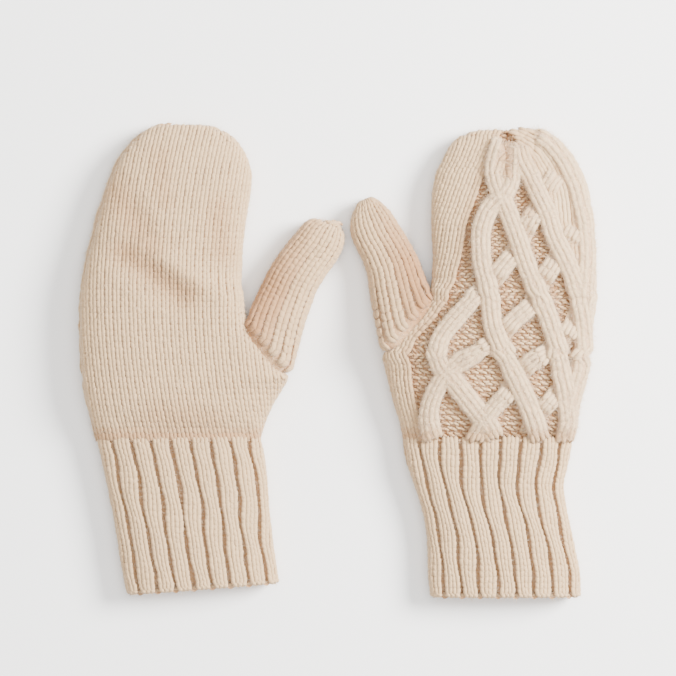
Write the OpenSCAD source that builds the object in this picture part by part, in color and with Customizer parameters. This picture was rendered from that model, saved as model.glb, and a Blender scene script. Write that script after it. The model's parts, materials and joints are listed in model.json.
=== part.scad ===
/* [Knit] */
// Thickness of the knitted wall of the hand and thumb
wall = 3.5; // [3:0.25:4]
// Thickness of the ribbed wall of the cuff
cuff_wall = 4; // [3.5:0.25:4.5]
// Height of a cable rope above its ground of purl stitches
rope_rise = 3; // [2:0.25:3]
// Width of a cable rope
rope_w = 8; // [7:0.25:8]
// Height of the short ropes that pass below the long ones
under_rise = 2; // [1.5:0.25:2.5]

/* [Cuff] */
// Number of ribs round each cuff
ribs = 18; // [14:1:22]
// Depth of the valley between two ribs
rib_depth = 1.2; // [0.5:0.1:1.5]
// Height of the cast-on edge at the mouth of the cuff
edge_h = 3; // [2:0.5:5]

/* [Form] */
// Height up the hand at which the knuckles fold
knuckle_y = 44; // [42:0.5:45]
// Roundness of the sections, from 0.6 for boxy to 1 for an ellipse
roundness = 0.77; // [0.6:0.01:1]
// How much the side that lies on the table is flattened
flattening = 2; // [1:0.25:3]
// Clearance between parts that move against each other
clearance = 0.4; // [0.3:0.05:0.6]
// Half height of the welt round the thumb hole
seam_r = 1.6; // [1:0.1:2]

/* [Hidden] */

wool = [0.89, 0.84, 0.76];
wool_ground = [0.84, 0.76, 0.66];
wool_dark = [0.78, 0.69, 0.58];

// Half angle that the thumb hole takes out of a section
hole_angle = 35;
// How far a rope or welt is sunk into the knit below it
sunk = 0.5;
wrist_y = -44;
lean_from_y = 50;
lean_over = 50;
lean_x = 7;

// Hand rows: [y, left, right, height, underside, edge of the cable panel, thumb-side roundness]
palm_up_hand = [
    [-44, -133, -43.5, 21, 0.5, -50, 0.77],
    [-34, -135.5, -40.5, 22.5, 2, -47, 0.77],
    [-25, -138, -36.5, 24, 3, -46, 0.77],
    [-16, -140, -31, 25, 3, -44, 0.6],
    [-8, -141, -26.5, 25.5, 3, -42, 0.35],
    [2, -141.5, -34.8, 26, 3, -48, 0.35],
    [12, -142, -43.1, 26, 3, -54, 0.35],
    [21, -142, -50.5, 26, 3, -60, 0.35],
    [28, -142, -52.5, 26, 3, -61, 0.7],
    [36, -141.5, -53.5, 26, 3, -62, 0.77],
    [44, -140.5, -54, 26, 3, -63, 0.77],
    [58, -137.5, -53.5, 25, 3, -66, 0.77],
    [76, -132.5, -51.5, 24, 3, -68, 0.77],
    [94, -127.5, -48.5, 22.5, 3, -72, 0.77],
    [103, -124, -48, 21, 3.3, -75, 0.77],
    [111.5, -120, -50.5, 19, 3.7, -79, 0.77],
    [118, -115, -54, 16.5, 4.3, -82, 0.77],
    [123, -110.5, -58, 14, 5, -84, 0.77],
    [127, -106, -64, 11.5, 6, -85, 0.77],
    [130, -101, -71, 9, 7, -86, 0.77],
    [131.5, -93, -79, 8, 7.5, -86, 0.77]
];
back_up_hand = [
    [-44, 36.5, 129, 21, 0, 48, 0.77],
    [-34, 34.5, 130.5, 23, 0, 45.5, 0.77],
    [-25, 31.5, 131.5, 24, 0, 43, 0.77],
    [-15, 29, 134, 25, 0, 41, 0.77],
    [-5, 26.5, 136, 25.5, 0, 40, 0.6],
    [4, 24.5, 137.5, 26, 0, 39, 0.35],
    [13, 32.1, 138.5, 26, 0, 43, 0.35],
    [24, 41.4, 140.5, 26, 0, 54, 0.35],
    [36, 51.5, 142, 26, 0, 61, 0.35],
    [44, 52.5, 141.5, 26, 0, 64, 0.7],
    [58, 53, 140.5, 25.5, 0, 68, 0.77],
    [76, 52, 139, 24.5, 0, 71, 0.77],
    [92, 52.5, 138, 23, 0, 77, 0.77],
    [103, 54.5, 134.5, 21, 0.2, 81, 0.77],
    [111, 58.5, 130, 19, 0.7, 85, 0.77],
    [116, 61, 127, 17.5, 1, 87, 0.77],
    [120.5, 64, 120, 15, 2, 89, 0.77],
    [124, 68, 115.5, 12.5, 3, 91, 0.77],
    [127, 75.5, 109, 10, 4.5, 92, 0.77],
    [129, 85, 99, 8, 5.5, 92.5, 0.77]
];

// Cuff rows: [y, left, right, height, underside]
palm_up_cuff_rows = [
    [-131.5, -116, -33.5, 19, 0],
    [-110, -120, -36.5, 19.5, 0],
    [-87, -123.5, -39, 20, 0],
    [-61, -129, -40.5, 20, 0],
    [-44, -133, -43.5, 21, 0]
];
back_up_cuff_rows = [
    [-131.5, 52, 133.5, 19, 0],
    [-118, 50.5, 133.5, 19.5, 0],
    [-100, 50.5, 129.5, 20, 0],
    [-84, 48, 126, 20, 0],
    [-69, 43, 123.5, 20, 0],
    [-57, 38.5, 127, 20.5, 0],
    [-44, 36.5, 129, 21, 0]
];
// How far the mouth of the cuff rises from its left to its right corner
palm_up_slant = 8;
back_up_slant = 0;

// Thumb rings: [inner edge x, y, outer edge x, y, height, underside, roundness]
palm_up_thumb_rows = [
    [-50.5, 21, -26.5, -8, 26, 3, 0.4],
    [-47, 30.5, -18.7, 20, 23, 2, 0.6],
    [-43, 39.5, -16, 28, 20.5, 1, 0.77],
    [-38, 49.8, -12.3, 38.3, 19.5, 1, 0.77],
    [-32.5, 58.5, -7, 47, 19, 1, 0.77],
    [-26.5, 66, -1.5, 54.5, 18.5, 1, 0.77],
    [-21.5, 71.7, 2, 61, 18, 1.2, 0.77],
    [-18.5, 75.8, 3.5, 66.5, 16.5, 1.8, 0.77],
    [-15, 78.3, 3, 71.5, 13, 3.5, 0.77],
    [-11.5, 79.3, 0, 75.5, 9.5, 5, 0.77]
];
back_up_thumb_rows = [
    [51.5, 36, 24.5, 4, 26, 0, 0.4],
    [48, 45.5, 18.2, 34.5, 22, 0, 0.7],
    [43.5, 57.5, 16.7, 47.3, 20, 0, 0.77],
    [38.5, 66.5, 13.3, 56.9, 19, 0, 0.77],
    [35, 72, 10.1, 62.5, 18.5, 0, 0.77],
    [32.4, 76.3, 8.1, 67.1, 18, 0.2, 0.77],
    [29.5, 81, 7, 72.5, 17, 0.5, 0.77],
    [26, 85, 7.3, 77.9, 14.5, 1.5, 0.77],
    [22, 88.5, 9.4, 83.7, 11, 3, 0.77],
    [20, 89.5, 11, 86, 9.5, 4, 0.77]
];

// Long cable ropes on the back, from the fingertips down
over_ropes = [
    [[96.5, 117], [97, 107], [97.5, 98]],
    [[82, 83], [79, 74], [78, 62], [79, 52], [82, 41], [84, 30], [85, 18], [88, 9], [93, 0], [97, -9], [101, -19],
     [106, -28], [111, -37]],
    [[88, 113], [86, 102], [87, 94], [91, 86], [95, 77], [98, 67], [102, 58], [106, 49], [110, 38], [115, 28],
     [119, 18], [123, 8], [125, -4], [127, -16], [128, -28], [127, -38]],
    [[105.5, 113], [108, 100], [112, 89], [117, 79], [119, 69], [122, 60], [127, 51], [130, 41], [132, 32]],
    [[116, 115], [124, 107], [128, 97], [130, 86], [133, 74], [134, 62]],
    [[76, 38], [68, 30], [60, 21], [55, 11], [54, 0], [60, -8], [66, -16], [72, -24], [78, -31], [84, -38]]
];
// Short ropes that pass below the long ones
under_ropes = [
    [[103, 73], [108, 79]],
    [[88, 48.5], [95, 56]],
    [[113, 48], [117, 53]],
    [[92, 17], [106, 29]],
    [[102, -4], [116, 5]],
    [[66, 0], [82, 7]],
    [[84, -26], [94, -18]],
    [[110, -25], [119, -19]],
    [[54, -16], [49, -24], [52, -38]]
];

// Row of a table at position t, on straight lines between its rows
function row_at(rows, t, i = 0) =
    i >= len(rows) - 2 || t <= rows[i + 1][0]
    ? rows[i] + (t - rows[i][0]) / (rows[i + 1][0] - rows[i][0]) * (rows[i + 1] - rows[i])
    : row_at(rows, t, i + 1);

// Rows of a table from position a to position b
function rows_between(rows, a, b) = [
    row_at(rows, a),
    for (r = rows) if (r[0] > a + 1 && r[0] < b - 1) r,
    row_at(rows, b)
];

function power(v, p) = sign(v) * pow(abs(v), p);

// Height of a section's skin at an angle, from its underside, height and inset
function section_z(angle, low, height, round_by, inset) =
    let (flat = sin(angle) < 0 ? flattening : 0)
    max(low + inset, low + height / 2 + (height / 2 + flat - inset) * power(sin(angle), round_by));

// Roundness of a hand row at an angle, squarer on the thumb side round the thumb hole
function side_round(r, angle, thumb_side) = cos(angle) * thumb_side > 0 ? r[6] : roundness;

// Point on a hand row: angle 0 is the right edge and 90 the top
function hand_point(r, angle, thumb_side, inset) =
    let (half = (r[2] - r[1]) / 2, p = side_round(r, angle, thumb_side))
    [(r[1] + r[2]) / 2 + max(half - inset, 2) * power(cos(angle), p), r[0],
     section_z(angle, r[4], r[3], p, min(inset, r[3] / 2 - 0.5))];

// Angle at which a hand row's skin is at x, on the upper half of the section
function angle_at(r, x, thumb_side) =
    let (n = (2 * x - r[1] - r[2]) / (r[2] - r[1]), p = n * thumb_side > 0 ? r[6] : roundness)
    acos(power(max(-0.97, min(0.97, n)), 1 / p));

// Height of the skin over or under the point x of a hand row
function skin_z(r, x, thumb_side, up) =
    let (a = angle_at(r, x, thumb_side))
    section_z(up * a, r[4], r[3], side_round(r, a, thumb_side), 0);

// Closed solid between an outer and an inner grid of points, without the cells that skip(i, j) names
module thick_grid(outer, inner, closed = false, skip = function (i, j) false) {
    rows = len(outer);
    cols = len(outer[0]);
    cells = closed ? cols : cols - 1;
    function at(i, j, side) = side * rows * cols + j * cols + i % cols;
    function gone(i, j) = j < 0 || j >= rows - 1 || (!closed && (i < 0 || i >= cells)) || skip((i + cells) % cells, j);
    function quad(a, b, c, d) = [[a, b, c], [a, c, d]];
    function wall_of(i, j) = [
        if (gone(i, j - 1)) each quad(at(i, j, 0), at(i, j, 1), at(i + 1, j, 1), at(i + 1, j, 0)),
        if (gone(i, j + 1)) each quad(at(i + 1, j + 1, 0), at(i + 1, j + 1, 1), at(i, j + 1, 1), at(i, j + 1, 0)),
        if (gone(i - 1, j)) each quad(at(i, j + 1, 0), at(i, j + 1, 1), at(i, j, 1), at(i, j, 0)),
        if (gone(i + 1, j)) each quad(at(i + 1, j, 0), at(i + 1, j, 1), at(i + 1, j + 1, 1), at(i + 1, j + 1, 0))
    ];
    faces = [
        for (j = [0:rows - 2], i = [0:cells - 1]) if (!gone(i, j)) each concat(
            quad(at(i, j, 0), at(i + 1, j, 0), at(i + 1, j + 1, 0), at(i, j + 1, 0)),
            quad(at(i, j, 1), at(i, j + 1, 1), at(i + 1, j + 1, 1), at(i + 1, j, 1)),
            wall_of(i, j)
        )
    ];
    polyhedron(points = concat([for (r = outer) each r], [for (r = inner) each r]), faces = faces);
}

// Panel of a hand between two heights and two angles, which are given for each row
module panel(rows, thumb_side, angles, tip = false, skip = function (i, j) false) {
    y0 = rows[0][0];
    y1 = rows[len(rows) - 1][0];
    depth = tip ? wall : 0;
    inner_y = [for (r = rows) r[0] - depth * (r[0] - y0) / (y1 - y0)];
    outer = [for (r = rows) [for (a = angles(r)) hand_point(r, a, thumb_side, 0)]];
    inner = [
        for (j = [0:len(rows) - 1]) [
            for (a = angles(rows[j]))
                let (p = hand_point(rows[j], a, thumb_side, wall)) [p[0], inner_y[j], p[2]]
        ]
    ];
    thick_grid(outer, inner, skip = skip);
}

function steps(a, b, n) = [for (i = [0:n]) a + (b - a) * i / n];
function inner_steps(a, b, n) = [for (i = [1:n]) a + (b - a) * i / n];

// Angle of the thumb-side edge of a hand
function thumb_angle(thumb_side) = thumb_side > 0 ? 0 : 180;

// Angle where the plain knit starts, on the thumb side of the back. The back of a palm-up mitten is its
// underside, with the thumb on the right, and the back of a back-up mitten is its top, with the thumb on the left.
function plain_start(r, thumb_side) =
    let (edge = angle_at(r, r[5], thumb_side))
    min(thumb_side > 0 ? -edge : edge, thumb_angle(thumb_side) - hole_angle - 5);

function plain_angles(r, thumb_side) =
    let (mid = thumb_angle(thumb_side))
    concat(steps(plain_start(r, thumb_side), mid - hole_angle, 3),
           inner_steps(mid - hole_angle, mid + hole_angle, 2),
           inner_steps(mid + hole_angle, mid + 180, 9));

function cabled_angles(r, thumb_side) =
    steps(thumb_angle(thumb_side) - 180, plain_start(r, thumb_side), 10);

// The hole's cells are the two middle columns, in the rows between the ends of the thumb's base line
function is_hole(rows, i, j, low, high) =
    (i == 3 || i == 4) && rows[j][0] > low - 0.1 && rows[j + 1][0] < high + 0.1;

module plain_hand(hand, thumb_side, low, high) {
    rows = rows_between(hand, wrist_y, knuckle_y - clearance / 2);
    color(wool) panel(
        rows, thumb_side, function (r) plain_angles(r, thumb_side),
        skip = function (i, j) is_hole(rows, i, j, low, high)
    );
}

module cabled_hand(hand, thumb_side) {
    rows = rows_between(hand, wrist_y, knuckle_y - clearance / 2);
    color(wool_ground) panel(rows, thumb_side, function (r) cabled_angles(r, thumb_side));
}

module plain_fingers(hand, thumb_side) {
    rows = rows_between(hand, knuckle_y + clearance / 2, hand[len(hand) - 1][0]);
    color(wool) panel(rows, thumb_side, function (r) plain_angles(r, thumb_side), tip = true);
}

module cabled_fingers(hand, thumb_side) {
    rows = rows_between(hand, knuckle_y + clearance / 2, hand[len(hand) - 1][0]);
    color(wool_ground) panel(rows, thumb_side, function (r) cabled_angles(r, thumb_side), tip = true);
}

// Ring of a tapering tube between two edge points, with a section as on the hand
function ring_point(r, angle, inset) =
    let (
        a = [r[0], r[1]],
        b = [r[2], r[3]],
        half = norm(b - a) / 2,
        mid = (a + b) / 2 + (b - a) / 2 * max(half - inset, 1) / half * power(cos(angle), r[6])
    )
    [mid[0], mid[1], section_z(angle, r[5], r[4], r[6], min(inset, r[4] / 2 - 0.5))];

// Unit vector along the thumb, square to a ring's edge line
function along(r, thumb_side) =
    let (d = [r[2] - r[0], r[3] - r[1]] / norm([r[2] - r[0], r[3] - r[1]])) [-d[1], d[0]] * thumb_side;

module thumb(rows, thumb_side) {
    count = 20;
    angles = [for (i = [0:count - 1]) (thumb_side > 0 ? 1 : -1) * 360 * i / count];
    shift = 2 * clearance * along(rows[0], thumb_side);
    first = rows[0] + [shift[0], shift[1], shift[0], shift[1], 0, 0, 0];
    rings = [first, for (j = [1:len(rows) - 1]) rows[j]];
    last = len(rings) - 1;
    outer = [for (r = rings) [for (a = angles) ring_point(r, a, 0)]];
    inner = [
        for (j = [0:last]) [
            for (a = angles)
                let (back = -wall * j / last * along(rings[j], thumb_side))
                ring_point(rings[j], a, wall) + [back[0], back[1], 0]
        ]
    ];
    color(wool) thick_grid(outer, inner, closed = true);
}

// Closed oval, the drawn-up stitches that shut a tip
module closure(centre, size) {
    count = 12;
    levels = 5;
    body = [
        for (k = [1:levels]) [
            for (i = [0:count - 1])
                let (e = 90 - 180 * k / (levels + 1), a = 360 * i / count)
                centre + [size[0] * cos(e) * cos(a), size[1] * cos(e) * sin(a), size[2] * sin(e)]
        ]
    ];
    points = concat([centre + [0, 0, size[2]]], [for (r = body) each r], [centre - [0, 0, size[2]]]);
    last = len(points) - 1;
    function at(i, k) = 1 + k * count + i % count;
    color(wool_dark) polyhedron(
        points = points,
        faces = [
            for (i = [0:count - 1]) each concat(
                [[0, at(i + 1, 0), at(i, 0)], [last, at(i, levels - 1), at(i + 1, levels - 1)]],
                [for (k = [0:levels - 2]) each [
                    [at(i, k), at(i + 1, k), at(i + 1, k + 1)],
                    [at(i, k), at(i + 1, k + 1), at(i, k + 1)]
                ]]
            )
        ]
    );
}

// Part of a rope's route that lies above or below a height, ended on that height
function cut_route(route, y, keep) = [
    for (i = [0:len(route) - 1]) each [
        if (keep * (route[i][1] - y) > 2) route[i],
        if (i < len(route) - 1 && (route[i][1] - y) * (route[i + 1][1] - y) < 0)
            route[i] + (y - route[i][1]) / (route[i + 1][1] - route[i][1]) * (route[i + 1] - route[i])
    ]
];

// Unit vector across a route at one of its points
function across(route, i) =
    let (
        a = route[max(i - 1, 0)],
        b = route[min(i + 1, len(route) - 1)],
        d = (b - a) / norm(b - a)
    )
    [-d[1], d[0]];

// Rope of D section laid on the back of a hand, with up = 1 where the back is on top. It stays on its side
// of the fold at height y, which is above y for keep = 1 and below it for keep = -1.
module rope(hand, thumb_side, up, route, rise, keep, y) {
    shape = [[-1, 0], [-0.65, 0.75], [0, 1], [0.65, 0.75], [1, 0]];
    n = len(shape);
    last = len(route) - 1;
    function foot(p) = skin_z(row_at(hand, p[1]), p[0], thumb_side, up);
    function ring(i) = [
        for (s = shape)
            let (
                taper = i == 0 || i == last ? 0.8 : 1,
                p = route[i] + across(route, i) * s[0] * rope_w / 2 * taper,
                base = s[1] == 0 ? foot(p) - up * sunk : foot(route[i]) + up * rise * s[1] * taper
            )
            [p[0], keep * max(keep * p[1], keep * y), max(0, base)]
    ];
    points = [for (i = [0:last]) each ring(i)];
    function at(i, k) = i * n + k % n;
    sides = [
        for (i = [0:last - 1], k = [0:n - 1]) each [
            [at(i, k), at(i + 1, k), at(i + 1, k + 1)],
            [at(i, k), at(i + 1, k + 1), at(i, k + 1)]
        ]
    ];
    ends = [
        for (k = [1:n - 2]) each [
            [at(0, 0), at(0, k), at(0, k + 1)],
            [at(last, 0), at(last, k + 1), at(last, k)]
        ]
    ];
    faces = concat(sides, ends);
    polyhedron(points = points, faces = up > 0 ? faces : [for (f = faces) [f[0], f[2], f[1]]]);
}

// A palm-up mitten carries the same routes, mirrored, with its fingers leaning a little to the right
function placed(route, thumb_side) =
    thumb_side < 0 ? route : [
        for (p = route) [-p[0] + lean_x * max(0, min(1, (p[1] - lean_from_y) / lean_over)), p[1]]
    ];

module ropes(hand, thumb_side, keep) {
    up = -thumb_side;
    y = knuckle_y + keep * clearance;
    color(wool) for (route = over_ropes) {
        part = cut_route(route, y, keep);
        if (len(part) > 2) rope(hand, thumb_side, up, placed(part, thumb_side), rope_rise, keep, y);
    }
    color(wool_ground) for (route = under_ropes)
        if (keep * (route[0][1] - y) > 0) rope(hand, thumb_side, up, placed(route, thumb_side), under_rise, keep, y);
}

// Welt where the thumb's stitches are picked up, over the top of the thumb hole
module thumb_seam(hand, thumb_side, base) {
    inner_end = [base[0], base[1]];
    outer_end = [base[2], base[3]];
    d = (outer_end - inner_end) / norm(outer_end - inner_end);
    back = -[-d[1], d[0]] * thumb_side * 4.5;
    route = [for (f = [0.12, 0.3, 0.5, 0.7, 0.88]) inner_end + f * (outer_end - inner_end) + back];
    r = seam_r;
    shape = [[-1, 0], [-0.65, 0.75], [0, 1], [0.65, 0.75], [1, 0]];
    points = [
        for (p = route, s = shape)
            let (q = p + s[0] * r * [-d[1], d[0]], foot = skin_z(row_at(hand, p[1]), p[0], thumb_side, 1))
            [q[0], q[1], foot + (s[1] == 0 ? -sunk : r * s[1])]
    ];
    n = len(shape);
    last = len(route) - 1;
    function at(i, k) = i * n + k % n;
    faces = concat(
        [for (i = [0:last - 1], k = [0:n - 1]) each [
            [at(i, k), at(i + 1, k), at(i + 1, k + 1)],
            [at(i, k), at(i + 1, k + 1), at(i, k + 1)]
        ]],
        [for (k = [1:n - 2]) each [[at(0, 0), at(0, k), at(0, k + 1)], [at(last, 0), at(last, k + 1), at(last, k)]]]
    );
    color(wool_dark) polyhedron(points = points, faces = faces);
}

// Depth of the rib pattern at a step round the cuff, four steps to a rib
function rib_inset(i) = i % 4 < 2 ? 0 : rib_depth;

// Point on a cuff row, with the mouth slanted and the slant gone at the wrist
function cuff_point(r, angle, inset, slant) =
    let (
        half = (r[2] - r[1]) / 2,
        x = (r[1] + r[2]) / 2 + (half - inset) * power(cos(angle), roundness),
        fade = (wrist_y - r[0]) / (wrist_y + 131.5)
    )
    [x, r[0] + slant * fade * (x - r[1]) / (2 * half), section_z(angle, r[4], r[3], roundness, inset)];

module cuff(rows, slant) {
    count = 4 * ribs;
    used = rows_between(rows, rows[0][0] + edge_h, wrist_y - clearance);
    angle = function (i) 360 * i / count;
    outer = [for (r = used) [for (i = [0:count - 1]) cuff_point(r, angle(i), rib_inset(i), slant)]];
    inner = [for (r = used) [for (i = [0:count - 1]) cuff_point(r, angle(i), cuff_wall, slant)]];
    color(wool) thick_grid(outer, inner, closed = true);
}

module cuff_edge(rows, slant) {
    count = 48;
    used = [rows[0], row_at(rows, rows[0][0] + edge_h)];
    angle = function (i) 360 * i / count;
    outer = [for (r = used) [for (i = [0:count - 1]) cuff_point(r, angle(i), 0, slant)]];
    inner = [for (r = used) [for (i = [0:count - 1]) cuff_point(r, angle(i), cuff_wall, slant)]];
    color(wool_dark) thick_grid(outer, inner, closed = true);
}

plain_hand(palm_up_hand, 1, -8, 21);  // palm_up_plain_hand
cabled_hand(palm_up_hand, 1);  // palm_up_cabled_hand
ropes(palm_up_hand, 1, -1);  // palm_up_ropes_hand
thumb_seam(palm_up_hand, 1, palm_up_thumb_rows[0]);  // palm_up_thumb_seam
plain_fingers(palm_up_hand, 1);  // palm_up_plain_fingers
cabled_fingers(palm_up_hand, 1);  // palm_up_cabled_fingers
ropes(palm_up_hand, 1, 1);  // palm_up_ropes_fingers
closure([-86, 129, 11.5], [6, 2.5, 3.5]);  // palm_up_tip_closure
thumb(palm_up_thumb_rows, 1);  // palm_up_thumb
closure([-6.5, 75.5, 9.8], [4.5, 3, 3.5]);  // palm_up_thumb_tip
cuff(palm_up_cuff_rows, palm_up_slant);  // palm_up_cuff
cuff_edge(palm_up_cuff_rows, palm_up_slant);  // palm_up_cuff_edge
plain_hand(back_up_hand, -1, 4, 36);  // back_up_plain_hand
cabled_hand(back_up_hand, -1);  // back_up_cabled_hand
ropes(back_up_hand, -1, -1);  // back_up_ropes_hand
thumb_seam(back_up_hand, -1, back_up_thumb_rows[0]);  // back_up_thumb_seam
plain_fingers(back_up_hand, -1);  // back_up_plain_fingers
cabled_fingers(back_up_hand, -1);  // back_up_cabled_fingers
ropes(back_up_hand, -1, 1);  // back_up_ropes_fingers
closure([92, 126.5, 9.5], [6, 2.5, 3.5]);  // back_up_tip_closure
thumb(back_up_thumb_rows, -1);  // back_up_thumb
closure([16, 86, 8.8], [4, 3, 3.5]);  // back_up_thumb_tip
cuff(back_up_cuff_rows, back_up_slant);  // back_up_cuff
cuff_edge(back_up_cuff_rows, back_up_slant);  // back_up_cuff_edge
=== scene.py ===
"""A pair of hand-knitted wool mittens side by side, one with its palm and one with its cabled back up."""
import json
import math
import bpy
import numpy as np
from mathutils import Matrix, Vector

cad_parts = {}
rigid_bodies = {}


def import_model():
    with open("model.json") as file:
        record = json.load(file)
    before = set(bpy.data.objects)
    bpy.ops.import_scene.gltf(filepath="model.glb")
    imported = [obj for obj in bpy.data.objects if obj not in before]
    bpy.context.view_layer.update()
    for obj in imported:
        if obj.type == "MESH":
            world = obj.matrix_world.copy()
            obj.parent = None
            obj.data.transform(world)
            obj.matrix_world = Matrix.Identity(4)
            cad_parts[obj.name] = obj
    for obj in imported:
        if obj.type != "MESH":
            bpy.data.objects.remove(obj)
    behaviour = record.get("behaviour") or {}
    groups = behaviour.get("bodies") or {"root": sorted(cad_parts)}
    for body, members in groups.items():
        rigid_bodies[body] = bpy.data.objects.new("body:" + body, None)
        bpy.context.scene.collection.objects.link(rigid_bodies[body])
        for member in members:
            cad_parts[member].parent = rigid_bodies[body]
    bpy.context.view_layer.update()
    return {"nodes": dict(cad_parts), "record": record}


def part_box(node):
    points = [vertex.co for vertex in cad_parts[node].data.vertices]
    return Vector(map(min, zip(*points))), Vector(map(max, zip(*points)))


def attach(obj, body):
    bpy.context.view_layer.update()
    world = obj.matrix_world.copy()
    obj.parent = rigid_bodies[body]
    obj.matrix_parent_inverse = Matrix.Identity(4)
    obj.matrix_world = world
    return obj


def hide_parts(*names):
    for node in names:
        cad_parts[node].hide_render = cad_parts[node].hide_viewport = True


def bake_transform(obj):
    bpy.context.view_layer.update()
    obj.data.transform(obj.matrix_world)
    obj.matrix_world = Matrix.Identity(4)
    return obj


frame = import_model()

MM = 0.001
WALE = 4.5  # width of a column of stitches
COURSE = 3.2  # height of a row of stitches
RIBS = 18  # ribs round a cuff
RIB_STEP = 1 / 12  # part of a rib between two points of the cuff's skin
THUMB_WALES = 14  # columns of stitches round a thumb
THUMB_STEP = 1 / 6
WALL = 3.5  # thickness of the knitting
TUBE_SINK = -0.95  # how far the walls of cuff and thumb lie under the tops of their stitches
SLIM = 0.77  # power of the pillow-like section, where 1 is an ellipse
FLATTENING = 2.0  # how far the section would go through the table, which cuts it flat
CUFF_TOP = -44.0  # y of the line where cuff and hand meet
TIP_CLEAR = 3.0  # length below the tip that has no stitches of its own

# ---------------------------------------------------------------- forms taken from the frame


def cad_triangles(*nodes):
    """Triangles of CAD nodes as an array of corner points, in millimetres."""
    parts = []
    for node in nodes:
        mesh = frame["nodes"][node].data
        mesh.calc_loop_triangles()
        points = np.empty(len(mesh.vertices) * 3)
        mesh.vertices.foreach_get("co", points)
        corners = np.empty(len(mesh.loop_triangles) * 3, int)
        mesh.loop_triangles.foreach_get("vertices", corners)
        parts.append(points.reshape(-1, 3)[corners].reshape(-1, 3, 3) / MM)
    return np.concatenate(parts)


def cut(triangles, origin, angle):
    """Section by an upright plane through origin: (near end, far end, lowest, highest), or None."""
    line = np.array([math.cos(angle), math.sin(angle)])
    depth = (triangles[:, :, :2] - origin) @ np.array([-line[1], line[0]])
    found = []
    for a, b in ((0, 1), (1, 2), (2, 0)):
        hit = depth[:, a] * depth[:, b] < 0
        part = depth[hit, a] / (depth[hit, a] - depth[hit, b])
        found.append(triangles[hit, a] + part[:, None] * (triangles[hit, b] - triangles[hit, a]))
    found = np.concatenate(found)
    if not len(found):
        return None
    run = (found[:, :2] - origin) @ line
    return run.min(), run.max(), found[:, 2].min(), found[:, 2].max()


def smooth(values, reach):
    """Moving average of rows of numbers with a bell of that reach, in rows, keeping both ends."""
    values = np.asarray(values, float)
    flat = values.reshape(len(values), -1)
    size = int(3 * reach) + 1
    bell = np.exp(-0.5 * (np.arange(-size, size + 1) / reach) ** 2)
    bell /= bell.sum()
    head = 2 * flat[0] - flat[1:size + 1][::-1]
    tail = 2 * flat[-1] - flat[-size - 1:-1][::-1]
    long = np.concatenate([head, flat, tail])
    out = np.stack([np.convolve(long[:, c], bell, "valid") for c in range(flat.shape[1])], 1)
    return out.reshape(values.shape)


def power(v, p):
    return np.sign(v) * np.abs(v) ** p


def ease(v):
    v = np.clip(v, 0, 1)
    return v * v * (3 - 2 * v)


def run_length(x, y):
    """Distance run from the first point of a line to each of its points."""
    return np.concatenate([[0], np.cumsum(np.hypot(np.diff(x), np.diff(y)))])


def resample(at, known, *columns):
    """Columns of numbers given at known places, read at other places and set side by side."""
    return np.stack([np.interp(at, known, column) for column in columns], -1)


def away_from(points, x0, y0, x1, y1):
    """Distance in plan of points from the line between two ends."""
    start, way = np.array([x0, y0]), np.array([x1 - x0, y1 - y0])
    part = np.clip(((points[..., :2] - start) @ way) / (way @ way), 0, 1)
    return np.linalg.norm(points[..., :2] - start - part[..., None] * way, axis=-1)


def oval(angle, near, far, low, high, slim):
    """Offsets along the line and heights of a mitten's pillow-like section."""
    height = high - low
    rise = np.where(np.sin(angle) < 0, height / 2 + FLATTENING, height / 2)
    z = low + height / 2 + rise * power(np.sin(angle), slim)
    return (near + far) / 2 + (far - near) / 2 * power(np.cos(angle), slim), np.maximum(z, low)


class Skin:
    """Outer surface of a knitted tube, read at s across the columns of stitches and t up the piece."""

    def __init__(self, points, s_first, s_step, t_first=0.0, t_step=1.0):
        self.points = points
        self.s_first, self.s_step = s_first, s_step
        self.t_first, self.t_step = t_first, t_step
        self.settle()

    def settle(self):
        across = np.gradient(self.points, axis=1)
        along = np.gradient(self.points, axis=0)
        up = np.cross(across, along)
        self.up = up / np.maximum(np.linalg.norm(up, axis=2, keepdims=True), 1e-6)

    def close_over(self, way):
        """Turns the last rows step by step towards a way, so that stitches lie well over a tip."""
        for row, tilt in ((-4, 0.4), (-3, 0.9), (-2, 2.0), (-1, 4.0)):
            up = self.up[-6] + tilt * way
            self.up[row] = up / np.linalg.norm(up, axis=1, keepdims=True)

    def read(self, table, s, t):
        rows, cols = table.shape[:2]
        a = np.clip((np.asarray(s, float) - self.s_first) / self.s_step, 0, cols - 1.001)
        b = np.clip((np.asarray(t, float) - self.t_first) / self.t_step, 0, rows - 1.001)
        i, j = a.astype(int), b.astype(int)
        fa, fb = (a - i)[..., None], (b - j)[..., None]
        low = table[j, i] * (1 - fa) + table[j, i + 1] * fa
        high = table[j + 1, i] * (1 - fa) + table[j + 1, i + 1] * fa
        return low * (1 - fb) + high * fb

    def point(self, s, t, lift=0.0):
        lift = np.asarray(lift, float)
        return self.read(self.points, s, t) + self.read(self.up, s, t) * lift[..., None]


def relief(points, up, spots):
    """Lifts a skin by soft ridges and hollows, each (x, y of one end, x, y of the other, width, height)."""
    lift = np.zeros(points.shape[:-1])
    for *ends, width, height in spots:
        lift += height * np.exp(-(away_from(points, *ends) / width) ** 2)
    return points + up * lift[..., None]


# The pinky edge, thumb edge, edge of the cabled panel, middle of the back, and pinky edge again.
LINES = ("pinky", "thumb", "cable", "back", "end")


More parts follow.
